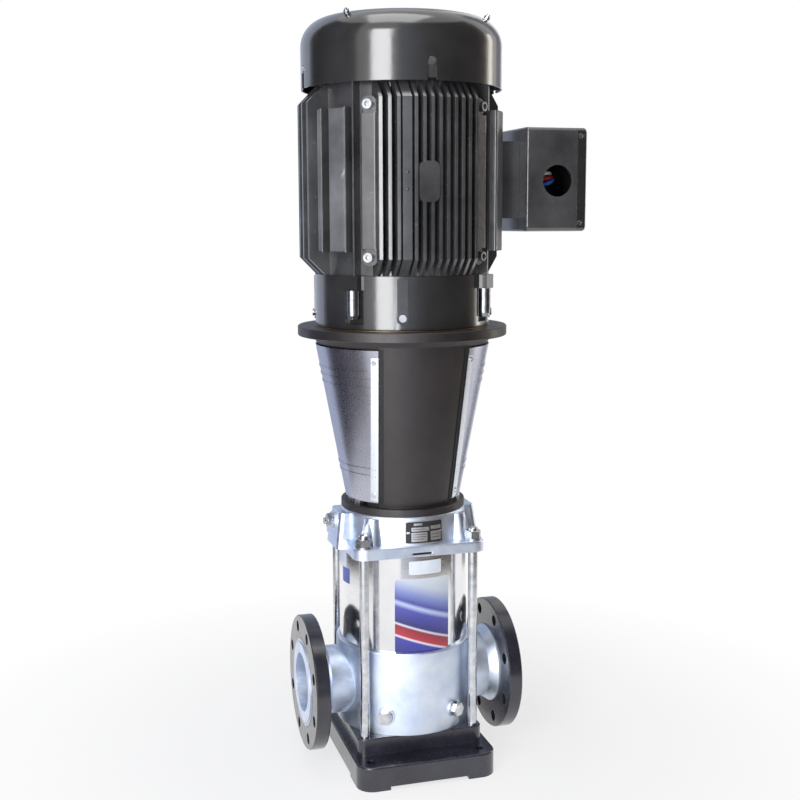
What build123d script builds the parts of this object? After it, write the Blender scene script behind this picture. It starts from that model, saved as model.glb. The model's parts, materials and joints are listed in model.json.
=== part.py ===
"""Vertical in-line multistage pump with a flange-mounted, fan-cooled electric motor.

Frame: +Z up, origin on the pump axis at the underside of the feet. The suction port faces -X, the
discharge port +X, and the front, with its drain plugs and rating plate, faces -Y. Millimetres.
"""

from build123d import *
import math
import os

# ---------------------------------------------------------------- driving dimensions
# Ports (100 mm nominal, class 150 drilling)
PORT_FACE_X = 182.5        # pump axis to each port face
PORT_HEIGHT = 140.0
PORT_BORE_R = 50.0
PORT_BORE_LENGTH = 62.5
PORT_RELIEF_R = 53.0
NECK_R = 58.0
COLLAR_R = 68.0
COLLAR_LENGTH = 28.0
FLARE_LENGTH = 14.0
FLANGE_R = 114.5
FLANGE_THICKNESS = 24.0
FLANGE_SETBACK = 2.0
FLANGE_PCD = 190.5
FLANGE_HOLES = 8
FLANGE_HOLE_R = 9.5
RETAINER_R = 75.0
RETAINER_SEAT_R = 65.0
RETAINER_THICKNESS = 4.5
LIP_LENGTH = 1.5
SWIVEL_GAP = 0.4

# Cast-iron base
BASE_X = 240.0
BASE_Y = 316.0
BASE_CORNER_R = 28.0
FOOT_HEIGHT = 6.0
FOOT_X = 52.0
FOOT_Y = 68.0
DECK_Z = 41.0
DECK_THICKNESS = 12.0
SKIRT = 11.0
PEDESTAL_HALF = 109.0
PEDESTAL_CORNER_R = 14.0
PEDESTAL_Z = 70.0
ANCHOR_X = 190.0
ANCHOR_Y = 266.0
ANCHOR_HOLE_R = 7.0
ANCHOR_BOSS_R = 17.0

# Tie rods
ROD_OFFSET = 95.0
ROD_R = 8.0
ROD_ANCHOR_DEPTH = 24.0
ROD_PROJECTION = 21.0
NUT_AF = 24.0
NUT_HEIGHT = 13.0
WASHER_R = 14.0
WASHER_THICKNESS = 3.0

# Stainless casing and sleeve
CASING_R = 117.0
CASING_TOP = 213.0
CASING_WALL = 10.0
CASING_FLOOR = 10.0
SPIGOT_R = 60.0
SPIGOT_DEPTH = 5.0
SUCTION_WALL_R = 84.0
SUCTION_WALL = 6.0
SUCTION_TOP = 196.0
SLEEVE_R = 110.5
SLEEVE_WALL = 2.5
SLEEVE_SEAT = 10.0
SEAL_SECTION_R = 1.6
PLUG_ANGLE = 30.7
PLUG_HEIGHT = 104.0
PLUG_THREAD_R = 8.5
PLUG_AF = 22.0
PLUG_HEAD = 8.0
PLUG_BOSS_R = 15.0
PLUG_BOSS = 3.0
GASKET_THICKNESS = 1.5

# Pump head
HEAD_PLATE_Z = 378.0
HEAD_PLATE_THICKNESS = 18.0
HEAD_HALF = 113.0
HEAD_CORNER_R = 20.0
HEAD_TOP = 444.0
HEAD_R = 107.0
HEAD_CROWN = 5.0
HEAD_BORE_R = 62.0
EAR_X = 127.0
EAR_HALF_WIDTH = 40.0
EAR_LEAN = 8.0
VENT_BOSS_R = 16.0
VENT_BOSS = 2.4
LOBE_REACH = 110.0
LOBE_FOOT_R = 21.0
LOBE_TOP_R = 13.0
VENT_HEIGHT = 422.0
VENT_AF = 22.0

# Hydraulic stack
STAGES = 2
STAGE_HEIGHT = 62.0
STACK_Z = 202.0
CHAMBER_R = 98.0
CHAMBER_WALL = 3.0
EYE_R = 44.0
IMPELLER_R = 80.0
IMPELLER_VANES = 6
RETURN_VANES = 8
RETURN_PLATE_R = 84.0
HUB_R = 20.0
SHAFT_R = 11.0
SHAFT_BOTTOM = 182.0
BUSH_R = 15.0
RUNNING_GAP = 0.05

# Motor stool and coupling
STOOL_RING_R = 106.0
STOOL_RING_HEIGHT = 12.0
STOOL_FOOT_R = 93.0
STOOL_TOP_R = 148.0
STOOL_WALL = 12.0
STOOL_FLANGE_R = 176.0
STOOL_FLANGE_THICKNESS = 16.0
MOTOR_FACE_Z = 753.5
WEB_HALF_TOP = 76.0
WEB_HALF_FOOT = 62.0
COUPLING_R = 44.0
COUPLING_BOTTOM = 572.0
COUPLING_TOP = 716.0
COUPLING_SPLIT = 1.5
GUARD_SHEET = 1.5
GUARD_LAP = 12.0
STOOL_BOLT_R = 5.0
STOOL_BOLT_PCD = 176.0

# Motor
MOTOR_SHAFT_R = 20.6
MOTOR_SHAFT_OUT = 100.0
RABBET_R = 108.0
RABBET_DEPTH = 5.0
FACE_BOLT_PCD = 184.0
FACE_BOLT_R = 6.0
BELL_R = 146.0
BELL_TOP = 840.0
BELL_WALL = 10.0
FRAME_R = 138.0
FRAME_WALL = 10.0
FRAME_TOP = 1140.0
FIN_R = 171.0
FIN_THICKNESS = 5.2
FIN_PITCH = 13.0
FRONT_FINS = 13
SIDE_FINS = 4
SIDE_FIN_PITCH = 24.0
WIDE_RIB_X = 39.5
SIDE_FIN_R = 160.0
FIN_RAMP = 27.0
CORE_BOTTOM = 925.0
CORE_TOP = 1085.0
CORE_BORE_R = 76.0
AIR_GAP = 0.6
BEARING_R = 45.0
BEARING_BORE_R = 22.5
BEARING_WIDTH = 25.0
BALL_R = 8.4
BALL_COUNT = 8
BALL_GAP = 0.35
COVER_R = 165.0
COVER_BOTTOM = 1137.5
COVER_TOP = 1254.0
COVER_SHEET = 2.5
COVER_CORNER_R = 44.0
COVER_CROWN = 5.0
BOX_INNER_X = 189.0
BOX_OUTER_X = 297.0
BOX_HALF_Y = 85.0
BOX_BOTTOM = 908.0
BOX_TOP = 1078.0
BOX_WALL = 5.0
BOX_CORNER_R = 10.0
CONDUIT_X = 244.0
CONDUIT_R = 26.0
LEAD_R = 3.2

# ---------------------------------------------------------------- derived places
FLANGE_OUTER_X = PORT_FACE_X - FLANGE_SETBACK
FLANGE_INNER_X = FLANGE_OUTER_X - FLANGE_THICKNESS
SLEEVE_BOTTOM = CASING_TOP - SLEEVE_SEAT
SLEEVE_TOP = HEAD_PLATE_Z + SLEEVE_SEAT
SLEEVE_BORE_R = SLEEVE_R - SLEEVE_WALL
STACK_TOP = STACK_Z + STAGES * STAGE_HEIGHT
MOTOR_SHAFT_BOTTOM = MOTOR_FACE_Z - MOTOR_SHAFT_OUT
PUMP_SHAFT_TOP = MOTOR_SHAFT_BOTTOM - 6.0
STOOL_BOTTOM = HEAD_TOP
STOOL_FLANGE_Z = MOTOR_FACE_Z - STOOL_FLANGE_THICKNESS
CORE_R = FRAME_R - FRAME_WALL
ROTOR_R = CORE_BORE_R - AIR_GAP
LOWER_BEARING_Z = MOTOR_FACE_Z + 47.0
UPPER_BEARING_Z = FRAME_TOP - 26.0
PLUG_ANGLES = (-PLUG_ANGLE, PLUG_ANGLE)
SIDES = (-1, 1)


# ---------------------------------------------------------------- small helpers
def cylinder(radius, z0, z1):
    """A solid cylinder about the pump axis between two heights."""
    return Pos(0, 0, (z0 + z1) / 2) * Cylinder(radius, z1 - z0)


def tube(outer, inner, z0, z1):
    """A plain ring about the pump axis."""
    return cylinder(outer, z0, z1) - cylinder(inner, z0 - 1, z1 + 1)


def turned(points):
    """A solid of revolution about the pump axis from (radius, height) corners."""
    outline = Polyline(*[(r, 0, z) for r, z in points], close=True)
    return revolve(make_face(outline), Axis.Z, 360)


def block(x0, x1, y0, y1, z0, z1):
    """A box between two corners."""
    return Pos((x0 + x1) / 2, (y0 + y1) / 2, (z0 + z1) / 2) * Box(x1 - x0, y1 - y0, z1 - z0)


def along_x(shape, side=1):
    """Turns a piece made about +Z so that its axis points along +X, or along -X for side -1."""
    return Rot(0, 90 * side, 0) * shape


def around(shape, angles):
    """Copies of a piece turned about the pump axis."""
    return [Rot(0, 0, a) * shape for a in angles]


def rounded_plate(half_x, half_y, corner, z0, z1):
    """A rectangular plate with rounded corners."""
    sketch = RectangleRounded(2 * half_x, 2 * half_y, corner)
    return Pos(0, 0, z0) * extrude(sketch, z1 - z0)


def hex_prism(across_flats, height):
    """A hexagon prism that stands on z = 0."""
    return extrude(RegularPolygon(across_flats / 2, 6, major_radius=False), height)


def hex_bolt(radius, length, across_flats, head):
    """A hexagon-headed bolt with its head above z = 0 and its shank below."""
    top = Pos(0, 0, head * 0.55) * Cylinder(across_flats * 0.48, head * 1.1)
    dome = hex_prism(across_flats, head) + (top & (hex_prism(across_flats * 0.86, head * 1.1)))
    return dome + Pos(0, 0, -length / 2) * Cylinder(radius, length)


def socket_bolt(radius, length):
    """A socket-headed screw with its head above z = 0 and its shank below."""
    head = Pos(0, 0, radius) * Cylinder(radius * 1.5, 2 * radius)
    socket = Pos(0, 0, radius) * hex_prism(radius * 1.6, 2 * radius)
    return head - socket + Pos(0, 0, -length / 2) * Cylinder(radius, length)


def facing_front(shape, angle, radius, height):
    """Stands a piece made about +Z on a cylinder wall: its +Z points outwards at that angle.

    The angle is measured from the front (-Y) towards +X.
    """
    return Rot(0, 0, angle) * Pos(0, -radius, height) * Rot(90, 0, 0) * shape


def corners(offset_x, offset_y):
    """The four corners of a rectangle about the axis."""
    return [(sx * offset_x, sy * offset_y) for sx in SIDES for sy in SIDES]


def blade(r_in, r_out, thickness, z0, z1, sweep):
    """An upright, curved vane from one radius to another, swept back by an angle in degrees."""
    turn = math.radians(sweep)
    start = Vector(r_in, 0)
    end = Vector(r_out * math.cos(turn), r_out * math.sin(turn))
    middle = (start + end) / 2 + 0.12 * Vector(start.Y - end.Y, end.X - start.X)
    strip = trace(ThreePointArc(start, middle, end), thickness)
    return Pos(0, 0, z0) * extrude(strip, z1 - z0)


nodes = {}


def keep(name, *pieces):
    """Files one or more solids under a node name."""
    nodes[name] = list(pieces)


# ---------------------------------------------------------------- base
def base_plate():
    """Hollow cast-iron base: deck on four feet, with a square pedestal that carries the casing."""
    half_x, half_y = BASE_X / 2, BASE_Y / 2
    deck = rounded_plate(half_x, half_y, BASE_CORNER_R, 0, DECK_Z)
    deck = fillet(deck.faces().sort_by(Axis.Z)[-1].edges(), 3)
    deck -= rounded_plate(half_x - SKIRT, half_y - SKIRT, BASE_CORNER_R - SKIRT, -1, DECK_Z - DECK_THICKNESS)
    gap_x, gap_y = 2 * (half_x - FOOT_X), 2 * (half_y - FOOT_Y)
    deck -= Pos(0, 0, FOOT_HEIGHT / 2) * Box(gap_x, BASE_Y + 2, FOOT_HEIGHT)
    deck -= Pos(0, 0, FOOT_HEIGHT / 2) * Box(BASE_X + 2, gap_y, FOOT_HEIGHT)
    step = rounded_plate(PEDESTAL_HALF, PEDESTAL_HALF, PEDESTAL_CORNER_R, DECK_Z - 1, PEDESTAL_Z)
    step = fillet(step.faces().sort_by(Axis.Z)[-1].edges(), 2.5)
    hollow = cylinder(SPIGOT_R + 24, -1, PEDESTAL_Z - 14)
    body = deck + step - hollow - cylinder(SPIGOT_R + 0.2, PEDESTAL_Z - 15, PEDESTAL_Z + 1)
    for x, y in corners(ANCHOR_X / 2, ANCHOR_Y / 2):
        body += Pos(x, y, 0) * cylinder(ANCHOR_BOSS_R, 0, DECK_Z - 1)
        body -= Pos(x, y, 0) * cylinder(ANCHOR_HOLE_R, -1, DECK_Z + 1)
    for x, y in corners(ROD_OFFSET, ROD_OFFSET):
        body += Pos(x, y, 0) * cylinder(ROD_R + 5.5, DECK_Z - 6, PEDESTAL_Z - 3)
        body -= Pos(x, y, 0) * cylinder(ROD_R, PEDESTAL_Z - ROD_ANCHOR_DEPTH, PEDESTAL_Z + 1)
    return body


# ---------------------------------------------------------------- casing, ports and flanges
def port_neck(side):
    """The hollow neck of one port, from the wall it starts in to the port face."""
    wall_r = SUCTION_WALL_R - SUCTION_WALL / 2 if side < 0 else CASING_R - CASING_WALL / 2
    start = wall_r * 0.55
    collar_start = PORT_FACE_X - COLLAR_LENGTH
    flare_start = collar_start - FLARE_LENGTH
    seat_end = PORT_FACE_X - LIP_LENGTH
    seat_start = seat_end - RETAINER_THICKNESS - 0.2
    bore_start = PORT_FACE_X - PORT_BORE_LENGTH
    outline = [(PORT_BORE_R, bore_start), (PORT_RELIEF_R, bore_start), (PORT_RELIEF_R, start),
               (NECK_R, start), (NECK_R, flare_start), (COLLAR_R, collar_start),
               (COLLAR_R, seat_start), (RETAINER_SEAT_R, seat_start), (RETAINER_SEAT_R, seat_end),
               (COLLAR_R, seat_end), (COLLAR_R, PORT_FACE_X), (PORT_BORE_R, PORT_FACE_X)]
    neck_piece = Pos(0, 0, PORT_HEIGHT) * along_x(turned(outline), side)
    return neck_piece - cylinder(wall_r, PEDESTAL_Z + 1, CASING_TOP - 1)


def port_bore(side):
    """The way through the walls at one port: both walls at the inlet, the outer one at the outlet."""
    start = 0.5 * SUCTION_WALL_R if side < 0 else SUCTION_WALL_R + 2
    hole = cylinder(PORT_RELIEF_R, start, PORT_FACE_X - PORT_BORE_LENGTH)
    return Pos(0, 0, PORT_HEIGHT) * along_x(hole, side)


def pump_casing():
    """Stainless casting: an outer ring passage round a suction cell, with the two ports in line."""
    outer = cylinder(CASING_R, PEDESTAL_Z, CASING_TOP)
    outer = fillet(outer.faces().sort_by(Axis.Z)[-1].edges(), 2)
    cavity = tube(CASING_R - CASING_WALL, SUCTION_WALL_R, PEDESTAL_Z + CASING_FLOOR, CASING_TOP + 1)
    cell = cylinder(SUCTION_WALL_R - SUCTION_WALL, PEDESTAL_Z + CASING_FLOOR, CASING_TOP + 1)
    cell += cylinder(SUCTION_WALL_R + 1, SUCTION_TOP, CASING_TOP + 1)
    body = outer - cavity - cell
    for side in SIDES:
        body -= port_bore(side)
        body += port_neck(side)
    body -= cylinder(SUCTION_WALL_R + 1, SUCTION_TOP, CASING_TOP + 1)
    body += cylinder(SPIGOT_R, PEDESTAL_Z - SPIGOT_DEPTH, PEDESTAL_Z + 1)
    seat = cylinder(SLEEVE_R + 0.2, SLEEVE_BOTTOM, CASING_TOP + 1)
    seat += tube(SLEEVE_R + 0.2 + 2 * SEAL_SECTION_R + 0.2, SLEEVE_R - 4, SLEEVE_BOTTOM + 3, SLEEVE_BOTTOM + 6.6)
    body -= seat
    for angle in PLUG_ANGLES:
        boss = Pos(0, 0, -CASING_WALL / 2 + PLUG_BOSS / 2) * Cylinder(PLUG_BOSS_R, CASING_WALL + PLUG_BOSS)
        hole = Cylinder(PLUG_THREAD_R, 4 * CASING_WALL)
        body += facing_front(boss, angle, CASING_R, PLUG_HEIGHT)
        body -= facing_front(hole, angle, CASING_R, PLUG_HEIGHT)
    return body


def port_flange(side):
    """Loose bolting ring, held on the collar by the split retaining ring."""
    pocket = FLANGE_OUTER_X - (PORT_FACE_X - LIP_LENGTH - RETAINER_THICKNESS - 0.2 - SWIVEL_GAP)
    ring = Pos(0, 0, FLANGE_INNER_X) * extrude(Circle(FLANGE_R), FLANGE_THICKNESS)
    ring = chamfer(ring.edges().filter_by(GeomType.CIRCLE), 1.5)
    ring -= cylinder(COLLAR_R + SWIVEL_GAP, FLANGE_INNER_X - 1, FLANGE_OUTER_X + 1)
    ring -= cylinder(RETAINER_R + SWIVEL_GAP, FLANGE_OUTER_X - pocket, FLANGE_OUTER_X + 1)
    step = 360 / FLANGE_HOLES
    for n in range(FLANGE_HOLES):
        hole = Pos(FLANGE_PCD / 2, 0, 0) * cylinder(FLANGE_HOLE_R, FLANGE_INNER_X - 1, FLANGE_OUTER_X + 1)
        ring -= Rot(0, 0, step * (n + 0.5)) * hole
    return Pos(0, 0, PORT_HEIGHT) * along_x(ring, side)


def retaining_halves(side):
    """Split ring in the collar's groove, in two halves."""
    z1 = PORT_FACE_X - LIP_LENGTH - 0.1
    ring = tube(RETAINER_R, RETAINER_SEAT_R + 0.1, z1 - RETAINER_THICKNESS, z1)
    halves = [ring & block(*span, -100, 100, 0, 200) for span in ((-100, -0.6), (0.6, 100))]
    return [Pos(0, 0, PORT_HEIGHT) * along_x(half, side) for half in halves]


def drain_plug(angle):
    """Hexagon pipe plug in the front of the casing."""
    seat = CASING_R + PLUG_BOSS + GASKET_THICKNESS
    plug = hex_bolt(PLUG_THREAD_R, CASING_WALL + PLUG_BOSS, PLUG_AF, PLUG_HEAD)
    return facing_front(plug, angle, seat, PLUG_HEIGHT)


def drain_gasket(angle):
    """Flat sealing washer under a drain plug."""
    washer = Cylinder(PLUG_BOSS_R - 2, GASKET_THICKNESS) - Cylinder(PLUG_THREAD_R, 2 * GASKET_THICKNESS)
    return facing_front(washer, angle, CASING_R + PLUG_BOSS + GASKET_THICKNESS / 2, PLUG_HEIGHT)


def o_ring(radius, height):
    """Round-section seal ring about the pump axis."""
    return Pos(0, 0, height) * Torus(radius + SEAL_SECTION_R + 0.1, SEAL_SECTION_R)


# ---------------------------------------------------------------- pump head and tie rods
def pump_head():
    """Stainless head casting: square clamping plate, round crown and an ear on each side."""
    plate = rounded_plate(HEAD_HALF, HEAD_HALF, HEAD_CORNER_R, HEAD_PLATE_Z, HEAD_PLATE_Z + HEAD_PLATE_THICKNESS)
    plate = fillet(plate.faces().sort_by(Axis.Z)[-1].edges(), 2.5)
    crown_z = HEAD_TOP - HEAD_CROWN
    body = turned([(0, HEAD_PLATE_Z), (HEAD_R + 3, HEAD_PLATE_Z), (HEAD_R, crown_z),
                   (HEAD_R - 0.5, HEAD_TOP - 2), (HEAD_R - 2.5, HEAD_TOP), (0, HEAD_TOP)])
    body += plate
    for side in SIDES:
        foot = Plane.XY.offset(HEAD_PLATE_Z + 2) * Pos(side * EAR_X / 2, 0) * Rectangle(EAR_X, 2 * EAR_HALF_WIDTH)
        top_x = EAR_X - EAR_LEAN
        top = Plane.XY.offset(HEAD_TOP - 4) * Pos(side * top_x / 2, 0) * Rectangle(
            top_x, 2 * (EAR_HALF_WIDTH - EAR_LEAN))
        ear = loft([foot.face(), top.face()])
        outer_edges = ear.edges().filter_by_position(Axis.X, min(side * EAR_X, side * (top_x - 1)),
                                                     max(side * EAR_X, side * (top_x - 1)))
        ear = fillet([e for e in outer_edges if e.length > 30 and abs(e.tangent_at(0.5).Z) > 0.5], 9)
        body += ear
    for angle in (45, 135, 225, 315):
        lobe = Solid.make_cone(LOBE_FOOT_R, LOBE_TOP_R, HEAD_TOP - 8 - HEAD_PLATE_Z)
        body += Rot(0, 0, angle) * Pos(LOBE_REACH, 0, HEAD_PLATE_Z + 3) * Rot(0, -6, 0) * lobe
    body -= cylinder(HEAD_BORE_R, HEAD_PLATE_Z + 14, HEAD_TOP + 1)
    body -= cylinder(SLEEVE_BORE_R - 4, HEAD_PLATE_Z - 1, HEAD_PLATE_Z + 22)
    seat = cylinder(SLEEVE_R + 0.2, HEAD_PLATE_Z - 1, SLEEVE_TOP)
    seat += tube(SLEEVE_R + 0.2 + 2 * SEAL_SECTION_R + 0.2, SLEEVE_R - 4, SLEEVE_TOP - 6.6, SLEEVE_TOP - 3)
    body -= seat
    body += tube(HEAD_BORE_R + 10, SHAFT_R + 14, HEAD_PLATE_Z + 26, HEAD_PLATE_Z + 38)
    for x, y in corners(ROD_OFFSET, ROD_OFFSET):
        body -= Pos(x, y, 0) * cylinder(ROD_R + 0.5, HEAD_PLATE_Z - 1, HEAD_PLATE_Z + 30)
        body -= Pos(x, y, 0) * cylinder(WASHER_R + 2, HEAD_PLATE_Z + HEAD_PLATE_THICKNESS, HEAD_TOP + 1)
    for angle in stool_bolt_angles():
        body -= Rot(0, 0, angle) * Pos(STOOL_BOLT_PCD / 2, 0, 0) * cylinder(
            STOOL_BOLT_R, HEAD_TOP - 20, HEAD_TOP + 1)
    body += vent_axis(cylinder(VENT_BOSS_R, -12, 0))
    body -= vent_axis(cylinder(PLUG_THREAD_R, -24, 20))
    return body


def stool_bolt_angles():
    """Directions of the four screws that hold the stool down, inside its side windows."""
    return [base + turn for base in (0, 180) for turn in (-18, 18)]


def vent_axis(shape):
    """Places a piece made about +Z on the left ear, pointing outwards along -X."""
    return Pos(-EAR_X + vent_seat_drop() - VENT_BOSS, 0, VENT_HEIGHT) * along_x(shape, -1)


def vent_seat_drop():
    """How far the leaning ear face lies inside its foot at the vent's height."""
    share = (VENT_HEIGHT - HEAD_PLATE_Z - 2) / (HEAD_TOP - 4 - HEAD_PLATE_Z - 2)
    return EAR_LEAN * share


def vent_plug():
    """Hexagon vent plug with a small tapped hole for the vent screw."""
    plug = Pos(0, 0, 1.4) * Cylinder(14, 2.8)
    plug += Pos(0, 0, 2.8) * hex_prism(VENT_AF, 8)
    plug += cylinder(PLUG_THREAD_R, -16, 0)
    plug -= cylinder(3.3, -20, 20)
    return vent_axis(plug)


def vent_screw():
    """Small bleed screw in the vent plug, with a slotted round head."""
    screw = cylinder(3.25, -12, 11.2) + cylinder(5.5, 11.2, 16)
    screw -= block(-6, 6, -0.7, 0.7, 14, 17)
    return vent_axis(screw)


def tie_rod(x, y):
    """Long stud from the base pedestal up through the head plate."""
    top = HEAD_PLATE_Z + HEAD_PLATE_THICKNESS + ROD_PROJECTION
    rod = cylinder(ROD_R, PEDESTAL_Z - ROD_ANCHOR_DEPTH, top)
    return Pos(x, y, 0) * chamfer(rod.faces().sort_by(Axis.Z)[-1].edges(), 1.2)


def tie_rod_nut(x, y):
    """Hexagon nut above its washer."""
    z0 = HEAD_PLATE_Z + HEAD_PLATE_THICKNESS + WASHER_THICKNESS
    nut = Pos(0, 0, z0) * hex_prism(NUT_AF, NUT_HEIGHT)
    cone = turned([(0, z0 - 1), (NUT_AF * 0.62, z0 - 1), (NUT_AF * 0.62, z0 + NUT_HEIGHT - 2.6),
                   (NUT_AF * 0.47, z0 + NUT_HEIGHT), (0, z0 + NUT_HEIGHT)])
    return Pos(x, y, 0) * ((nut & cone) - cylinder(ROD_R, z0 - 1, z0 + NUT_HEIGHT + 1))


def tie_rod_washer(x, y):
    """Flat washer under the nut."""
    z0 = HEAD_PLATE_Z + HEAD_PLATE_THICKNESS
    return Pos(x, y, 0) * tube(WASHER_R, ROD_R, z0, z0 + WASHER_THICKNESS)


def rating_plate():
    """Thin curved plate on the front of the head, with a rivet at each end."""
    z0, z1 = HEAD_PLATE_Z + HEAD_PLATE_THICKNESS + 3, HEAD_TOP - 6.5
    shell = turned([(head_radius(z0) + 0.05, z0), (head_radius(z0) + 0.9, z0),
                    (head_radius(z1) + 0.9, z1), (head_radius(z1) + 0.05, z1)])
    plate = shell & (Rot(0, 0, 3) * block(-33, 33, -130, 0, z0 - 1, z1 + 1))
    for angle in (-12.5, 18.5):
        z = (z0 + z1) / 2
        plate += facing_front(Pos(0, 0, 0.9) * Cylinder(1.8, 1.2), angle, head_radius(z), z)
    return plate


def head_radius(z):
    """Radius of the head's crown at a height above its plate."""
    return HEAD_R + 3 * (HEAD_TOP - HEAD_CROWN - z) / (HEAD_TOP - HEAD_CROWN - HEAD_PLATE_Z)


# ---------------------------------------------------------------- hydraulic stack
def stage_floor(stage):
    """Height of the underside of one stage."""
    return STACK_Z + stage * STAGE_HEIGHT


def suction_guide():
    """Plate on the suction cell that leads water to the first eye and carries the lower bush."""
    plate = tube(SUCTION_WALL_R, EYE_R + 2, SUCTION_TOP, STACK_Z)
    hub = tube(BUSH_R + 4, BUSH_R, SUCTION_TOP - 8, SUCTION_TOP - 1)
    rib = block(BUSH_R + 2, EYE_R + 16, -2, 2, SUCTION_TOP - 7, SUCTION_TOP - 1)
    rib += block(EYE_R + 4, EYE_R + 16, -2, 2, SUCTION_TOP - 2, SUCTION_TOP + 1)
    return plate + hub + around(rib, (0, 120, 240))


def chamber(stage):
    """Deep cup with an eye hole below and a vaned return plate above the impeller."""
    z0 = stage_floor(stage)
    z1 = z0 + STAGE_HEIGHT
    body = tube(CHAMBER_R, CHAMBER_R - CHAMBER_WALL, z0, z1)
    body += tube(CHAMBER_R, EYE_R + 3, z0, z0 + CHAMBER_WALL)
    body += tube(RETURN_PLATE_R, BUSH_R + 8, z0 + 34, z0 + 36)
    vane = blade(EYE_R + 4, CHAMBER_R - 1, 2.2, z0 + 36, z1, 34)
    for n in range(RETURN_VANES):
        body += Rot(0, 0, n * 360 / RETURN_VANES) * vane
    return body


def neck_ring(stage):
    """Wear ring in the eye hole of one stage."""
    z0 = stage_floor(stage)
    return tube(EYE_R + 3, EYE_R + 0.3, z0, z0 + 5)


def impeller(stage):
    """Closed impeller: hub, two shrouds and backward-curved vanes."""
    z0 = stage_floor(stage)
    body = tube(HUB_R, SHAFT_R, z0 + 4, z0 + 30)
    body += tube(EYE_R, EYE_R - 2.5, z0 - 1, z0 + 9)
    body += tube(IMPELLER_R, EYE_R - 2.5, z0 + 7, z0 + 9)
    body += tube(IMPELLER_R, SHAFT_R, z0 + 26, z0 + 28)
    vane = blade(HUB_R + 2, IMPELLER_R - 1, 2.5, z0 + 8.5, z0 + 26.5, 58)
    root = blade(HUB_R - 2, HUB_R + 8, 2.5, z0 + 12, z0 + 26.5, 6)
    for n in range(IMPELLER_VANES):
        turn = Rot(0, 0, n * 360 / IMPELLER_VANES)
        body += turn * vane
        body += turn * root
    return body


def top_chamber():
    """Outlet ring above the last stage, with posts, a spider and the upper bush housing."""
    z0 = STACK_TOP
    z1 = HEAD_PLATE_Z + 22
    body = tube(CHAMBER_R, EYE_R + 16, z0, z0 + 4)
    body += tube(BUSH_R + 5, BUSH_R, z0 - 8, z0 + 14)
    rib = block(BUSH_R + 3, CHAMBER_R - 2, -2.5, 2.5, z0 + 1, z0 + 9)
    body += around(rib, (45, 135, 225, 315))
    post = block(CHAMBER_R - 12, CHAMBER_R - 2, -9, 9, z0 + 3, z1 - 3)
    body += around(post, (45, 135, 225, 315))
    body += tube(CHAMBER_R, CHAMBER_R - 14, z1 - 4, z1)
    return body


def shaft_bush(z0, z1):
    """Plain bearing bush round the pump shaft."""
    return tube(BUSH_R, SHAFT_R + RUNNING_GAP, z0, z1)


def pump_shaft():
    """Ground shaft with a turned-down lower end and a cross hole for the coupling pin."""
    shaft = cylinder(SHAFT_R, SHAFT_BOTTOM, PUMP_SHAFT_TOP)
    shaft = chamfer(shaft.faces().sort_by(Axis.Z)[0].edges(), 1)
    return shaft - Pos(0, 0, coupling_pin_z()) * Rot(90, 0, 0) * Cylinder(3, 40)


def shaft_spacer(z0, z1):
    """Spacing tube between hubs."""
    return tube(HUB_R - 3, SHAFT_R, z0, z1)


def clamp_nut():
    """Nut that holds the impellers on the shaft."""
    z1 = stage_floor(0) + 4
    z0 = z1 - 9
    return Pos(0, 0, z0) * hex_prism(27, z1 - z0) - cylinder(SHAFT_R, z0 - 1, z1 + 1)


# ---------------------------------------------------------------- shaft seal
def seal_cover():
    """Gland plate that closes the head round the shaft."""
    z0 = HEAD_TOP - 10
    plate = tube(HEAD_BORE_R - 0.2, SHAFT_R + 3, z0, HEAD_TOP)
    plate += tube(34, SHAFT_R + 3, z0 - 8, z0 + 1)
    plate += tube(29, SHAFT_R + 3, HEAD_TOP - 1, HEAD_TOP + 8)
    plate += tube(HEAD_BORE_R - 0.2, HEAD_BORE_R - 12, HEAD_PLATE_Z + 38, z0 + 1)
    for angle in (45, 135, 225, 315):
        plate -= Rot(0, 0, angle) * Pos(46, 0, 0) * cylinder(3, z0 - 1, HEAD_TOP + 1)
    return plate


def seal_screws():
    """Socket screws of the gland plate."""
    screw = Pos(46, 0, HEAD_TOP) * socket_bolt(3, 10)
    return around(screw, (45, 135, 225, 315))


def seal_stationary_ring():
    """Carbon seat held in the gland plate."""
    z1 = HEAD_TOP - 18
    return tube(26, SHAFT_R + 1.5, z1 - 7, z1)


def seal_rotating_ring():
    """Hard face ring that turns with the shaft."""
    z1 = HEAD_TOP - 25
    return tube(22, SHAFT_R, z1 - 8, z1 - 0.3)


def seal_spring():
    """Coil spring that presses the seal faces together, drawn as its closed end coils and turns."""
    z1 = HEAD_TOP - 33
    coil = [tube(19, 16, z1 - 5 * n - 2.6, z1 - 5 * n) for n in range(4)]
    body = coil[0]
    for ring in coil[1:]:
        body += ring
    for angle in (0, 90, 180, 270):
        body += Rot(0, 0, angle) * block(16.4, 18.6, -3, 3, z1 - 17.6, z1)
    return body


def seal_driver():
    """Collar pinned to the shaft that carries the seal spring."""
    z1 = HEAD_TOP - 33 - 17.6
    return tube(22, SHAFT_R, z1 - 7, z1)


# ---------------------------------------------------------------- stool, guards and coupling
def cone_radius(z):
    """Outside radius of the stool at a height between its foot ring and its flange."""
    share = (z - STOOL_BOTTOM) / (STOOL_FLANGE_Z - STOOL_BOTTOM)
    return STOOL_FOOT_R + (STOOL_TOP_R - STOOL_FOOT_R) * share


def cone_shell(outset, inset, z0, z1):
    """Part of the stool's conical skin, between two offsets from its outside."""
    return turned([(cone_radius(z0) - inset, z0), (cone_radius(z0) + outset, z0),
                   (cone_radius(z1) + outset, z1), (cone_radius(z1) - inset, z1)])


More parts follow.
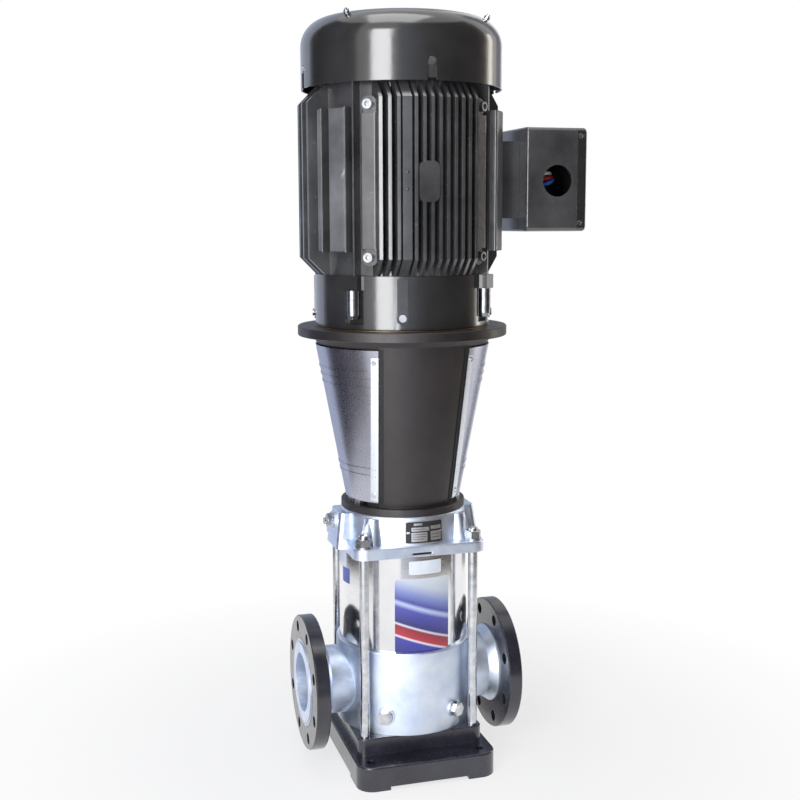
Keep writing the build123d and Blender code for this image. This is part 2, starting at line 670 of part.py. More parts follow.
def window_prism(extra, z0, z1):
    """Tapered prism as wide as the webs plus an amount, along Y through the stool."""
    def half(z):
        share = (z - STOOL_BOTTOM) / (STOOL_FLANGE_Z - STOOL_BOTTOM)
        return WEB_HALF_FOOT + (WEB_HALF_TOP - WEB_HALF_FOOT) * share + extra
    outline = Polyline((-half(z0), 0, z0), (half(z0), 0, z0), (half(z1), 0, z1), (-half(z1), 0, z1), close=True)
    return extrude(make_face(outline), 400, dir=(0, 1, 0), both=True)


def motor_stool():
    """Cast-iron stool: foot ring, two curved webs at front and back, and the motor flange."""
    z0, z1 = STOOL_BOTTOM, STOOL_FLANGE_Z
    webs = cone_shell(0, STOOL_WALL, z0, z1 + 1) & window_prism(0, z0, z1 + 1)
    web_lip = cone_shell(-1.5, STOOL_WALL, z0, z1 + 1) & window_prism(GUARD_LAP, z0, z1 + 1)
    ring = tube(STOOL_RING_R, HEAD_BORE_R + 4, z0, z0 + STOOL_RING_HEIGHT)
    ring = fillet(ring.edges().filter_by(GeomType.CIRCLE).sort_by(Axis.Z)[-2:], 1.5)
    flange = tube(STOOL_FLANGE_R, 72, z1, MOTOR_FACE_Z)
    flange = chamfer(flange.edges().filter_by(GeomType.CIRCLE).filter_by(
        lambda e: e.radius > STOOL_TOP_R), 1.2)
    collar = turned([(cone_radius(z1 - 14) - STOOL_WALL, z1 - 14), (cone_radius(z1 - 14) - 1.5, z1 - 14),
                     (STOOL_TOP_R + 4, z1 + 1), (STOOL_TOP_R - 26, z1 + 1)])
    body = webs + web_lip + ring + flange + collar
    body -= cylinder(RABBET_R + 0.1, MOTOR_FACE_Z - RABBET_DEPTH - 0.5, MOTOR_FACE_Z + 1)
    for angle in stool_bolt_angles():
        body -= Rot(0, 0, angle) * Pos(STOOL_BOLT_PCD / 2, 0, 0) * cylinder(STOOL_BOLT_R + 0.5, z0 - 1, z0 + 30)
    for angle in (45, 135, 225, 315):
        body -= Rot(0, 0, angle) * Pos(FACE_BOLT_PCD / 2, 0, 0) * cylinder(
            FACE_BOLT_R + 0.5, z1 - 40, MOTOR_FACE_Z + 1)
    for side in SIDES:
        for place in guard_screw_places(side):
            body -= place * Cylinder(2.0, 30)
    return body


def guard_screw_places(side):
    """Where the four small screws of one guard go: outward along the cone near each corner."""
    places = []
    lean = math.degrees(math.atan((STOOL_TOP_R - STOOL_FOOT_R) / (STOOL_FLANGE_Z - STOOL_BOTTOM)))
    for z in (STOOL_BOTTOM + 34, STOOL_FLANGE_Z - 34):
        share = (z - STOOL_BOTTOM) / (STOOL_FLANGE_Z - STOOL_BOTTOM)
        half = WEB_HALF_FOOT + (WEB_HALF_TOP - WEB_HALF_FOOT) * share + GUARD_LAP / 2
        angle = math.degrees(math.asin(half / cone_radius(z)))
        for front in (angle, 180 - angle):
            turn = front * side
            places.append(Rot(0, 0, turn) * Pos(0, -cone_radius(z), z) * Rot(90 + lean, 0, 0))
    return places


def coupling_guard(side):
    """Bent stainless sheet over one side window, with pressed grooves near its ends."""
    z0, z1 = STOOL_BOTTOM + STOOL_RING_HEIGHT + 8, STOOL_FLANGE_Z - 15
    skin = cone_shell(GUARD_SHEET, 0, z0, z1)
    beads = [z1 - 36, z1 - 49, z1 - 62, z0 + 46, z0 + 58]
    for z in beads:
        skin += cone_shell(GUARD_SHEET + 0.9, 0, z - 1.8, z + 1.8)
        skin -= cone_shell(0.4, 6, z - 1.2, z + 1.2)
    skin -= window_prism(1.2, z0 - 1, z1 + 1)
    skin = skin & block(*((-200, 0) if side < 0 else (0, 200)), -200, 200, z0, z1)
    for place in guard_screw_places(side):
        skin -= place * Cylinder(2.6, 20)
    return skin


def guard_screws(side):
    """Pan-head screws that hold one guard to the lips of the webs."""
    screw = Pos(0, 0, GUARD_SHEET + 1.4) * Cylinder(4.2, 2.6) + Pos(0, 0, -3) * Cylinder(2.0, 12)
    return [place * screw for place in guard_screw_places(side)]


def stool_bolts():
    """Hexagon screws from the foot ring into the head."""
    bolt = Pos(STOOL_BOLT_PCD / 2, 0, STOOL_BOTTOM + STOOL_RING_HEIGHT) * hex_bolt(STOOL_BOLT_R, 30, 17, 7)
    return around(bolt, stool_bolt_angles())


def motor_bolts():
    """Hexagon screws from under the stool flange into the motor face."""
    bolt = Pos(FACE_BOLT_PCD / 2, 0, STOOL_FLANGE_Z) * Rot(180, 0, 0) * hex_bolt(FACE_BOLT_R, 34, 19, 8)
    return around(bolt, (45, 135, 225, 315))


def coupling_pin_z():
    """Height of the cross pin in the pump shaft."""
    return COUPLING_BOTTOM + 26


def coupling_half(side):
    """One half of the rigid clamping coupling, with bolt lugs along its split."""
    body = cylinder(COUPLING_R, COUPLING_BOTTOM, COUPLING_TOP)
    body = chamfer(body.faces().sort_by(Axis.Z)[0].edges() + body.faces().sort_by(Axis.Z)[-1].edges(), 2)
    body -= cylinder(SHAFT_R, COUPLING_BOTTOM - 1, PUMP_SHAFT_TOP + 1)
    body -= cylinder(MOTOR_SHAFT_R, PUMP_SHAFT_TOP, COUPLING_TOP + 1)
    body -= Pos(0, 0, coupling_pin_z()) * Rot(90, 0, 0) * Cylinder(3, 40)
    for y, z in coupling_screw_places():
        body -= Pos(0, y, z) * Rot(0, 90, 0) * Cylinder(4.2, 100)
        body -= Pos(side * 40, y, z) * Rot(0, 90, 0) * Cylinder(7, 40)
    half = block(COUPLING_SPLIT / 2, 60, -60, 60, 500, 800)
    return body & (half if side > 0 else mirror(half, Plane.YZ))


def coupling_screw_places():
    """The (y, z) places of the four clamping screws."""
    return [(y, z) for y in (-32, 32) for z in (COUPLING_BOTTOM + 34, COUPLING_TOP - 34)]


def coupling_screws():
    """Clamping screws across the split, heads on the right."""
    screws = []
    for y, z in coupling_screw_places():
        screw = Rot(0, 90, 0) * socket_bolt(4.2, 40)
        screws.append(Pos(20, y, z) * screw)
    return screws


def coupling_pin():
    """Cross pin that keys the pump shaft in the coupling."""
    return Pos(0, 0, coupling_pin_z()) * Rot(90, 0, 0) * Cylinder(3, 39)


# ---------------------------------------------------------------- motor
def bearing_seat(z_mid):
    """The (bottom, top) of a ball bearing centred at a height."""
    return z_mid - BEARING_WIDTH / 2, z_mid + BEARING_WIDTH / 2


def bearing_housing(z_mid, shoulder):
    """Ring that carries a bearing, with a lip on the side given by the shoulder's sign."""
    z0, z1 = bearing_seat(z_mid)
    housing = tube(BEARING_R + 9, BEARING_R, z0, z1)
    lip = (z0 - 5, z0) if shoulder < 0 else (z1, z1 + 5)
    return housing + tube(BEARING_R + 9, BEARING_R - 7, *lip)


def drive_end_bell():
    """Motor end shield with the mounting face, its rabbet, the lower bearing and the frame joint."""
    z0 = MOTOR_FACE_Z
    shell = tube(BELL_R, BELL_R - BELL_WALL, z0, BELL_TOP)
    shell = chamfer(shell.edges().filter_by(GeomType.CIRCLE).filter_by(
        lambda e: e.radius > BELL_R - 1).sort_by(Axis.Z)[0], 2)
    floor = tube(BELL_R - BELL_WALL + 1, 58, z0, z0 + 20)
    rabbet = tube(RABBET_R, 70, z0 - RABBET_DEPTH, z0 + 1)
    body = shell + floor + rabbet + bearing_housing(LOWER_BEARING_Z, -1)
    seat_low = bearing_seat(LOWER_BEARING_Z)[0]
    rib = block(BEARING_R + 6, BELL_R - BELL_WALL + 2, -4, 4, z0 + 19, seat_low + BEARING_WIDTH)
    body += around(rib, range(0, 360, 45))
    body += tube(74, BEARING_R + 6, z0 + 19, z0 + 30)
    for angle in (45, 135, 225, 315):
        body -= Rot(0, 0, angle) * Pos(FACE_BOLT_PCD / 2, 0, 0) * cylinder(FACE_BOLT_R, z0 - RABBET_DEPTH - 1, z0 + 18.2)
    for angle in bell_bolt_angles():
        body -= Rot(0, 0, angle) * block(-17, 17, -BELL_R - 2, -BELL_R + 7.5, z0 + 10, bell_bolt_z())
        body += Rot(0, 0, angle) * block(-14, 14, -BELL_R - 13, -BELL_R + 9, bell_bolt_z(), BELL_TOP)
        body -= Rot(0, 0, angle) * Pos(0, -BELL_R - 3.5, 0) * cylinder(4.5, bell_bolt_z() - 1, bell_bolt_z() + 12.2)
    for angle in (-16, 74, 164, 254):
        pad = block(-9, 9, -BELL_R - 1.6, -BELL_R + 4, z0 + 14, BELL_TOP - 4)
        body += Rot(0, 0, angle) * pad
        body += facing_front(Cylinder(10, 8), angle, BELL_R - 2.4, z0 + 21)
    return body


def bell_bolt_angles():
    """Directions of the long frame bolts, from the front towards +X."""
    return (-48, 48, 132, 228)


def bell_bolt_z():
    """Height of the underside of the frame bolt lugs."""
    return MOTOR_FACE_Z + 64


def bell_bolts():
    """Long-headed bolts that clamp the end shield to the frame."""
    z = bell_bolt_z()
    bolt = cylinder(4.5, z - 1, z + 12) + cylinder(9.5, z - 40, z) + Pos(0, 0, z - 46) * hex_prism(16, 7)
    return [Rot(0, 0, angle) * Pos(0, -BELL_R - 3.5, 0) * bolt for angle in bell_bolt_angles()]


def bell_side_screws():
    """Round-headed screws low on the end shield's ribs."""
    head = Pos(0, 0, 1.6) * Cylinder(6, 3.2)
    return [facing_front(head, a, BELL_R + 1.6, MOTOR_FACE_Z + 21) for a in (-16, 74, 164, 254)]


def fin_envelope(r_out):
    """Ring that the cooling fins fill, with ramped ends."""
    low, high = BELL_TOP, FRAME_TOP
    inner = FRAME_R - 3
    root = FRAME_R + 7
    return turned([(inner, low), (root, low), (r_out, low + FIN_RAMP), (r_out, high - FIN_RAMP),
                   (root, high), (inner, high)])


def fins():
    """Upright fins: those at front and back stand along Y, those at the sides along X."""
    front = Part()
    for n in range(FRONT_FINS):
        x = (n - (FRONT_FINS - 1) / 2) * FIN_PITCH
        front += block(x - FIN_THICKNESS / 2, x + FIN_THICKNESS / 2, -200, 200, BELL_TOP - 1, FRAME_TOP + 1)
    front += block(-WIDE_RIB_X - 7, -WIDE_RIB_X + 7, -200, 200, BELL_TOP - 1, FRAME_TOP + 1)
    left = Part()
    right = Part()
    for n in range(SIDE_FINS):
        y = (n - (SIDE_FINS - 1) / 2) * SIDE_FIN_PITCH
        span = (y - FIN_THICKNESS / 2, y + FIN_THICKNESS / 2, BELL_TOP - 1, FRAME_TOP + 1)
        left += block(-200, 0, *span)
        right += block(0, 200, *span)
    return [fin_envelope(FIN_R) & front, fin_envelope(FIN_R) & left, fin_envelope(SIDE_FIN_R) & right]


def frame_pad(angle, half_width, r_face, z0, z1):
    """Flat raised pad on the frame."""
    pad = block(-half_width, half_width, -r_face, -FRAME_R + 6, z0, z1)
    upright = [e for e in pad.edges().filter_by(Axis.Z) if e.center().Y < -FRAME_R]
    return Rot(0, 0, angle) * fillet(upright, 3)


def stator_frame():
    """Cast-iron frame with cooling fins, fixing strips and flat pads."""
    z0, z1 = BELL_TOP, FRAME_TOP
    body = tube(FRAME_R, CORE_R, z0, z1)
    ribs = fins()
    low, high = strip_bolt_heights()
    for angle in (-35, 35, 145, 215):
        ribs.append(frame_pad(angle, 13, FRAME_R + 24, low + 13, high - 13))
        ribs.append(frame_pad(angle, 12, FRAME_R + 18, low, high))
        for z in (low, high):
            ribs.append(facing_front(Cylinder(13.5, 26), angle, FRAME_R + 6, z))
    for angle in (-53, 53, 127, 233):
        ribs.append(frame_pad(angle, 17, FRAME_R + 31, z0 + 38, z1 - 40))
    for angle in (-67, 247):
        ribs.append(frame_pad(angle, 5, FRAME_R + 30, z0 + 38, z1 - 40))
    for angle in (-45, 45, 135, 225):
        ribs.append(Rot(0, 0, angle) * block(-1.5, 1.5, -FRAME_R - 20, -FRAME_R + 6, z0, z1))
    pad = extrude(RectangleRounded(32, 62, 10), FIN_R + 2 - FRAME_R)
    ribs.append(facing_front(pad, -2, FRAME_R, 986))
    for rib in ribs:
        body += rib
    body += neck()
    body -= cylinder(CORE_R, z0 - 1, z1 + 1)
    body -= Pos(0, 0, (BOX_BOTTOM + BOX_TOP) / 2) * Rot(0, 90, 0) * cylinder(24, 100, BOX_INNER_X + 1)
    for angle in (-35, 35, 145, 215):
        for z in (low, high):
            body -= facing_front(Cylinder(5, 20), angle, FRAME_R + 19, z)
    for y, z in box_mount_places():
        body -= Pos(BOX_INNER_X, y, z) * Rot(0, 90, 0) * Cylinder(4, 22)
    return body


def neck():
    """Square neck on the right of the frame that carries the terminal box."""
    z0, z1 = BOX_BOTTOM + 22, BOX_TOP - 22
    return block(FRAME_R - 6, BOX_INNER_X, -52, 52, z0, z1)


def strip_bolt_heights():
    """Heights of the screws at both ends of the fixing strips."""
    return BELL_TOP + 30, FRAME_TOP - 37


def strip_bolts():
    """Socket screws at both ends of the fixing strips."""
    bolts = []
    for angle in (-35, 35, 145, 215):
        for z in strip_bolt_heights():
            bolts.append(facing_front(socket_bolt(5, 9), angle, FRAME_R + 19, z))
    return bolts


def stator_core():
    """Laminated stator pack with open slots towards the rotor."""
    core = tube(CORE_R, CORE_BORE_R, CORE_BOTTOM, CORE_TOP)
    slot = block(CORE_BORE_R - 1, CORE_BORE_R + 24, -3, 3, CORE_BOTTOM - 1, CORE_TOP + 1)
    for n in range(24):
        core -= Rot(0, 0, 15 * n) * slot
    return core


def stator_windings():
    """Copper end turns above and below the core, joined by the bars in its slots."""
    low = tube(CORE_BORE_R + 23, CORE_BORE_R + 3, CORE_BOTTOM - 26, CORE_BOTTOM - 0.2)
    high = tube(CORE_BORE_R + 23, CORE_BORE_R + 3, CORE_TOP + 0.2, CORE_TOP + 26)
    body = fillet(low.edges().filter_by(GeomType.CIRCLE), 7) + fillet(high.edges().filter_by(GeomType.CIRCLE), 7)
    bar = block(CORE_BORE_R + 5, CORE_BORE_R + 22, -2.6, 2.6, CORE_BOTTOM - 10, CORE_TOP + 10)
    for n in range(24):
        body += Rot(0, 0, 15 * n) * bar
    return body


def motor_shaft():
    """Stepped motor shaft from the coupling up through both bearings to the fan."""
    low0, low1 = bearing_seat(LOWER_BEARING_Z)
    up0, up1 = bearing_seat(UPPER_BEARING_Z)
    r = MOTOR_SHAFT_R
    outline = [(0, MOTOR_SHAFT_BOTTOM), (r - 1.5, MOTOR_SHAFT_BOTTOM), (r, MOTOR_SHAFT_BOTTOM + 1.5),
               (r, low0 - 14), (BEARING_BORE_R, low0 - 14), (BEARING_BORE_R, low1), (28, low1), (28, up0),
               (BEARING_BORE_R, up0), (BEARING_BORE_R, up1), (16, up1 + 2), (16, COVER_TOP - 48), (0, COVER_TOP - 48)]
    return turned(outline)


def rotor_core():
    """Cast rotor with end rings and small fan fins."""
    body = tube(ROTOR_R, 28, CORE_BOTTOM, CORE_TOP)
    for z0, z1 in ((CORE_BOTTOM - 12, CORE_BOTTOM), (CORE_TOP, CORE_TOP + 12)):
        body += tube(ROTOR_R - 3, 40, z0, z1)
    fin_low = block(58, ROTOR_R - 6, -2, 2, CORE_BOTTOM - 26, CORE_BOTTOM - 11)
    fin_high = block(58, ROTOR_R - 6, -2, 2, CORE_TOP + 11, CORE_TOP + 26)
    for n in range(8):
        body += Rot(0, 0, 45 * n) * fin_low
        body += Rot(0, 0, 45 * n) * fin_high
    return body


def race_groove(z_mid):
    """The torus that the balls of a bearing run in, a little larger than the balls."""
    return Pos(0, 0, z_mid) * Torus((BEARING_R + BEARING_BORE_R) / 2, BALL_R + BALL_GAP)


def outer_race(z_mid):
    """Outer ring of a deep-groove ball bearing."""
    z0, z1 = bearing_seat(z_mid)
    return tube(BEARING_R, BEARING_R - 6.5, z0, z1) - race_groove(z_mid)


def inner_race(z_mid):
    """Inner ring of a deep-groove ball bearing."""
    z0, z1 = bearing_seat(z_mid)
    return tube(BEARING_BORE_R + 6.5, BEARING_BORE_R, z0, z1) - race_groove(z_mid)


def ball_set(z_mid):
    """The balls of one bearing with the pressed cage that spaces them."""
    pitch = (BEARING_R + BEARING_BORE_R) / 2
    cage = tube(pitch + 2.2, pitch - 2.2, z_mid - BALL_R + 1.5, z_mid + BALL_R - 1.5)
    for n in range(BALL_COUNT):
        cage += Rot(0, 0, n * 360 / BALL_COUNT) * Pos(pitch, 0, z_mid) * Sphere(BALL_R)
    return cage


def fan_end_bell():
    """Upper end shield with the fan-side bearing."""
    z1 = FRAME_TOP
    plate = tube(FRAME_R, BEARING_R + 5, z1, z1 + 9)
    plate += tube(CORE_R - 0.2, CORE_R - 10, z1 - 6, z1 + 1)
    plate += bearing_housing(UPPER_BEARING_Z, 1)
    plate += tube(BEARING_R + 9, BEARING_R + 2, UPPER_BEARING_Z, z1 + 9)
    rib = block(BEARING_R + 6, CORE_R - 8, -4, 4, z1 - 12, z1 + 1)
    plate += around(rib, range(0, 360, 45))
    for angle in cover_screw_angles():
        lug = block(-9, 9, -COVER_R + COVER_SHEET + 0.8, -FRAME_R + 12, z1 + 2, z1 + 9)
        plate += Rot(0, 0, angle) * lug
        post = block(-9, 9, -COVER_R + COVER_SHEET + 0.8, -COVER_R + COVER_SHEET + 10.8, z1 + 2, z1 + 36)
        plate += Rot(0, 0, angle) * post
        plate -= facing_front(Cylinder(2.5, 24), angle, COVER_R - 8, cover_screw_z())
    return plate


def cover_screw_angles():
    """Directions of the fan cover's side screws, from the front towards +X."""
    return (0, 90, 180, 270)


def cover_screw_z():
    """Height of the side screws of the fan cover."""
    return COVER_BOTTOM + 29


def cooling_fan():
    """Moulded fan with straight radial blades, clamped on the shaft."""
    z0 = FRAME_TOP + 16
    body = tube(27, 16, z0, z0 + 40)
    body += tube(92, 16, z0 + 2, z0 + 5)
    vane = block(24, 118, -1.8, 1.8, z0 + 3, z0 + 34)
    body += around(vane, [n * 360 / 7 for n in range(7)])
    return body


def cover_profile(inset):
    """(radius, height) corners and arcs of the fan cover's outside, moved inwards by an inset."""
    r = COVER_R - inset
    shoulder_z = COVER_TOP - COVER_CROWN - COVER_CORNER_R
    flat_r = COVER_R - COVER_CORNER_R
    arc_r = COVER_CORNER_R - inset
    mid = math.sqrt(0.5) * arc_r
    bottom = COVER_BOTTOM - (1 if inset else 0)
    side = Line((r, 0, bottom), (r, 0, shoulder_z))
    corner = ThreePointArc((r, 0, shoulder_z), (flat_r + mid, 0, shoulder_z + mid), (flat_r, 0, shoulder_z + arc_r))
    crown = Line((flat_r, 0, shoulder_z + arc_r), (0, 0, COVER_TOP - inset))
    axis_line = Line((0, 0, COVER_TOP - inset), (0, 0, bottom))
    base_line = Line((0, 0, bottom), (r, 0, bottom))
    return make_face([side, corner, crown, axis_line, base_line])


def fan_cover():
    """Pressed cowl with an air grille in its crown and a slot for each side screw."""
    shell = revolve(cover_profile(0), Axis.Z, 360) - revolve(cover_profile(COVER_SHEET), Axis.Z, 360)
    for ring in range(3):
        radius = 34 + 24 * ring
        count = 12 + 6 * ring
        slot = Pos(radius, 0, COVER_TOP - 10) * Cylinder(7, 30)
        shell -= [Rot(0, 0, n * 360 / count) * slot for n in range(count)]
    for angle in cover_screw_angles():
        slot = block(-7, 7, -COVER_R - 8, -COVER_R + 8, COVER_BOTTOM - 1, cover_screw_z())
        head = facing_front(Cylinder(7, 16), angle, COVER_R, cover_screw_z())
        shell -= Rot(0, 0, angle) * slot
        shell -= head
    for angle in crown_screw_angles():
        shell -= crown_screw_place(angle) * Cylinder(3, 20)
    return shell


def crown_screw_angles():
    """Directions of the four studs on the shoulder of the fan cover."""
    return (-51, 51, 129, 231)


def crown_screw_place(angle):
    """On the rounded shoulder of the fan cover, axis square to the sheet."""
    reach = COVER_R - COVER_CORNER_R + COVER_CORNER_R * math.cos(math.radians(56))
    rise = COVER_TOP - COVER_CROWN - COVER_CORNER_R + COVER_CORNER_R * math.sin(math.radians(56))
    return Rot(0, 0, angle) * Pos(0, -reach, rise) * Rot(90 - 56, 0, 0)


def cover_screws():
    """Side screws in the slots, seated on the end shield's posts."""
    seat = COVER_R - COVER_SHEET - 0.8
    head = Pos(0, 0, 2.2) * Cylinder(6, 4.4) + Pos(0, 0, -4) * Cylinder(2.5, 8)
    return [facing_front(head, a, seat, cover_screw_z()) for a in cover_screw_angles()]


def crown_studs():
    """Short studs with round nuts that stand on the cover's shoulder."""
    stud = cylinder(2.9, -12, 9) + cylinder(5.2, 1.2, 6)
    return [crown_screw_place(a) * stud for a in crown_screw_angles()]


# ---------------------------------------------------------------- terminal box
def box_block(inset, x0, x1):
    """The terminal box's outline as a block along X, rounded on its long edges."""
    z_mid = (BOX_BOTTOM + BOX_TOP) / 2
    height = BOX_TOP - BOX_BOTTOM - 2 * inset
    outline = RectangleRounded(height, 2 * (BOX_HALF_Y - inset), max(BOX_CORNER_R - inset, 2))
    return Pos(x0, 0, z_mid) * Rot(0, 90, 0) * extrude(outline, x1 - x0)


def cover_split_x():
    """Where the box ends and its cover begins."""
    return BOX_OUTER_X - 18


def terminal_box():
    """Cast box with a conduit entry in front and a lead hole to the frame."""
    body = box_block(0, BOX_INNER_X, cover_split_x())
    inner_edges = body.faces().sort_by(Axis.X)[0].edges()
    body = fillet(inner_edges, 4)
    body -= box_block(BOX_WALL, BOX_INNER_X + BOX_WALL, cover_split_x() + 1)
    z_mid = (BOX_BOTTOM + BOX_TOP) / 2
    body -= Pos(0, 0, z_mid) * Rot(0, 90, 0) * cylinder(24, BOX_INNER_X - 1, BOX_INNER_X + BOX_WALL + 1)
    body -= Pos(CONDUIT_X, -BOX_HALF_Y, z_mid - 2) * Rot(90, 0, 0) * Cylinder(CONDUIT_R, 4 * BOX_WALL)
    for y, z in box_mount_places():
        body -= Pos(BOX_INNER_X, y, z) * Rot(0, 90, 0) * Cylinder(4, 30)
    tongue = box_block(BOX_WALL - 2, cover_split_x() - 1, cover_split_x() + 11.8) - box_block(
        BOX_WALL, cover_split_x() - 2, cover_split_x() + 13)
    body += tongue
    for x, y, z, _ in cover_corner_places():
        body -= Pos(x, y, z) * Rot(90, 0, 0) * Cylinder(2.5, 30)
    return body


def terminal_box_cover():
    """Cap that laps over the box's tongue, with a side screw at each corner."""
    body = box_block(0, cover_split_x(), BOX_OUTER_X)
    body = fillet(body.faces().sort_by(Axis.X)[-1].edges(), 5)
    body -= box_block(BOX_WALL - 2 - 0.2, cover_split_x() - 1, cover_split_x() + 12)
    body -= box_block(BOX_WALL, cover_split_x() - 1, BOX_OUTER_X - 4)
    for x, y, z, side in cover_corner_places():
        body -= Pos(x, y, z) * Rot(90, 0, 0) * Cylinder(2.5, 40)
        body -= Pos(x, y, z) * Rot(90 * -side, 0, 0) * Pos(0, 0, -1.0) * Cylinder(5.2, 4)
    return body


def cover_corner_places():
    """(x, y, z, side) of the four screws in the front and back of the cap."""
    x = cover_split_x() + 6.5
    return [(x, side * BOX_HALF_Y, z, side) for side in SIDES for z in (BOX_BOTTOM + 14, BOX_TOP - 14)]


def box_cover_screws():
    """Screws that hold the cap."""
    screws = []
    for x, y, z, side in cover_corner_places():
        head = Pos(0, 0, -1) * Cylinder(4.6, 3.0) + Pos(0, 0, -5) * Cylinder(2.5, 8)
        socket = Pos(0, 0, 0) * hex_prism(4, 3)
        screws.append(Pos(x, y, z) * Rot(-90 * side, 0, 0) * (head - socket))
    return screws


def box_mount_places():
    """(y, z) of the four screws between the box and the frame's neck."""
    z_mid = (BOX_BOTTOM + BOX_TOP) / 2
    return [(y, z) for y in (-38, 38) for z in (z_mid - 42, z_mid + 42)]


def box_mount_screws():
    """Screws inside the box that hold it to the frame's neck."""
    screw = Rot(0, 90, 0) * (hex_prism(13, 5) + Pos(0, 0, -7.5) * Cylinder(4, 15))
    return [Pos(BOX_INNER_X + BOX_WALL, y, z) * screw for y, z in box_mount_places()]


def terminal_block():
    """Moulded block with three studs that the motor leads end on."""
    z_mid = (BOX_BOTTOM + BOX_TOP) / 2
    x0 = BOX_INNER_X + BOX_WALL
    body = block(x0, x0 + 14, 32, 72, z_mid - 24, z_mid + 24)
    for n in (-1, 0, 1):
        body += Pos(x0 + 14, 52, z_mid + 15 * n) * Rot(0, 90, 0) * cylinder(3, -1, 16)
    return body


def motor_lead(turn, reach):
    """One insulated lead from the neck, looping past the conduit entry to its stud."""
    z_mid = (BOX_BOTTOM + BOX_TOP) / 2
    x = BOX_INNER_X
    points = [(x - 16, 8 * turn, z_mid),
              (x + 16, 9 * turn - 6, z_mid + 4 * turn),
              (x + 42, 9 * turn - 40, z_mid + reach),
              (x + 68, 8 * turn - 20, z_mid + 0.5 * reach),
              (x + 62, 9 * turn + 18, z_mid + 12 * turn + 6),
              (x + 44, 52 - 8, z_mid + 15 * turn + 3),
              (x + BOX_WALL + 33, 52, z_mid + 15 * turn)]
    path = Spline(*points)
    return sweep(Plane(origin=path @ 0, z_dir=path % 0) * Circle(LEAD_R), path=path)


# ---------------------------------------------------------------- all nodes
def build():
    """Makes every node."""
    keep("base_plate", base_plate())
    keep("pump_casing", pump_casing())
    keep("inlet_flange", port_flange(-1))
    keep("outlet_flange", port_flange(1))
    keep("flange_retaining_rings", *retaining_halves(-1), *retaining_halves(1))
    keep("drain_plugs", *[drain_plug(a) for a in PLUG_ANGLES])
    keep("drain_plug_gaskets", *[drain_gasket(a) for a in PLUG_ANGLES])
    keep("outer_sleeve", tube(SLEEVE_R, SLEEVE_BORE_R, SLEEVE_BOTTOM, SLEEVE_TOP))
    keep("sleeve_seals", o_ring(SLEEVE_R, SLEEVE_BOTTOM + 4.8), o_ring(SLEEVE_R, SLEEVE_TOP - 4.8))
    keep("pump_head", pump_head())
    keep("rating_plate", rating_plate())
    keep("vent_plug", vent_plug())
    keep("vent_screw", vent_screw())
    rods = corners(ROD_OFFSET, ROD_OFFSET)
    keep("tie_rods", *[tie_rod(x, y) for x, y in rods])
    keep("tie_rod_nuts", *[tie_rod_nut(x, y) for x, y in rods])
    keep("tie_rod_washers", *[tie_rod_washer(x, y) for x, y in rods])

    keep("suction_guide", suction_guide())
    for stage in range(STAGES):
        keep(f"chamber_{stage + 1}", chamber(stage))
        keep(f"impeller_{stage + 1}", impeller(stage))
    keep("neck_rings", *[neck_ring(stage) for stage in range(STAGES)])
    keep("top_chamber", top_chamber())
    keep("shaft_bushes", shaft_bush(SUCTION_TOP - 8, SUCTION_TOP - 1), shaft_bush(STACK_TOP - 8, STACK_TOP + 14))
    keep("pump_shaft", pump_shaft())
    keep("impeller_clamps", shaft_spacer(stage_floor(0) + 30, stage_floor(1) + 4), clamp_nut())

    keep("seal_cover", seal_cover())
    keep("seal_cover_screws", *seal_screws())
    keep("seal_seat", seal_stationary_ring())
    keep("seal_ring", seal_rotating_ring())
    keep("seal_spring", seal_spring())
    keep("seal_driver", seal_driver())

    keep("motor_stool", motor_stool())
    keep("stool_bolts", *stool_bolts(), *motor_bolts())
    keep("coupling_guard_left", coupling_guard(-1))
    keep("coupling_guard_right", coupling_guard(1))
    keep("guard_screws", *guard_screws(-1), *guard_screws(1))
    keep("coupling_half_left", coupling_half(-1))
    keep("coupling_half_right", coupling_half(1))
    keep("coupling_screws", *coupling_screws(), coupling_pin())

    keep("drive_end_bell", drive_end_bell())
    keep("bell_bolts", *bell_bolts(), *bell_side_screws())
    keep("stator_frame", stator_frame())
    keep("strip_bolts", *strip_bolts())
    keep("stator_core", stator_core())
    keep("stator_windings", stator_windings())
    keep("motor_shaft", motor_shaft())
    keep("rotor_core", rotor_core())
    keep("bearing_outer_rings", outer_race(LOWER_BEARING_Z), outer_race(UPPER_BEARING_Z))
    keep("bearing_inner_rings", inner_race(LOWER_BEARING_Z), inner_race(UPPER_BEARING_Z))
    keep("bearing_balls", ball_set(LOWER_BEARING_Z), ball_set(UPPER_BEARING_Z))
    keep("fan_end_bell", fan_end_bell())
    keep("cooling_fan", cooling_fan())
    keep("fan_cover", fan_cover())
    keep("fan_cover_screws", *cover_screws(), *crown_studs())

    keep("terminal_box", terminal_box())
    keep("terminal_box_cover", terminal_box_cover())
    keep("terminal_box_screws", *box_cover_screws(), *box_mount_screws())
    keep("terminal_block", terminal_block())
    keep("motor_leads", *[motor_lead(turn, 14 + 9 * turn) for turn in (-1, 0, 1)])


build()
os.makedirs("parts", exist_ok=True)
for name, pieces in nodes.items():
    solids = [solid for piece in pieces for solid in (
        piece.solids() if hasattr(piece, "solids") else ShapeList(piece).solids())]
    export_step(Compound(children=solids) if len(solids) > 1 else solids[0], f"parts/{name}.step")
print(len(nodes), "nodes")
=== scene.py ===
"""Vertical in-line multistage pump: finishes, small fittings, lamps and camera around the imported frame.

Metres, +Z up. The front of the pump faces -Y and its discharge port faces +X. Names that end in _mm or _deg
are in millimetres or degrees, and so are the sizes of the pieces made here.
"""
import json
import math
import bpy
from mathutils import Matrix, Vector, noise as turbulence


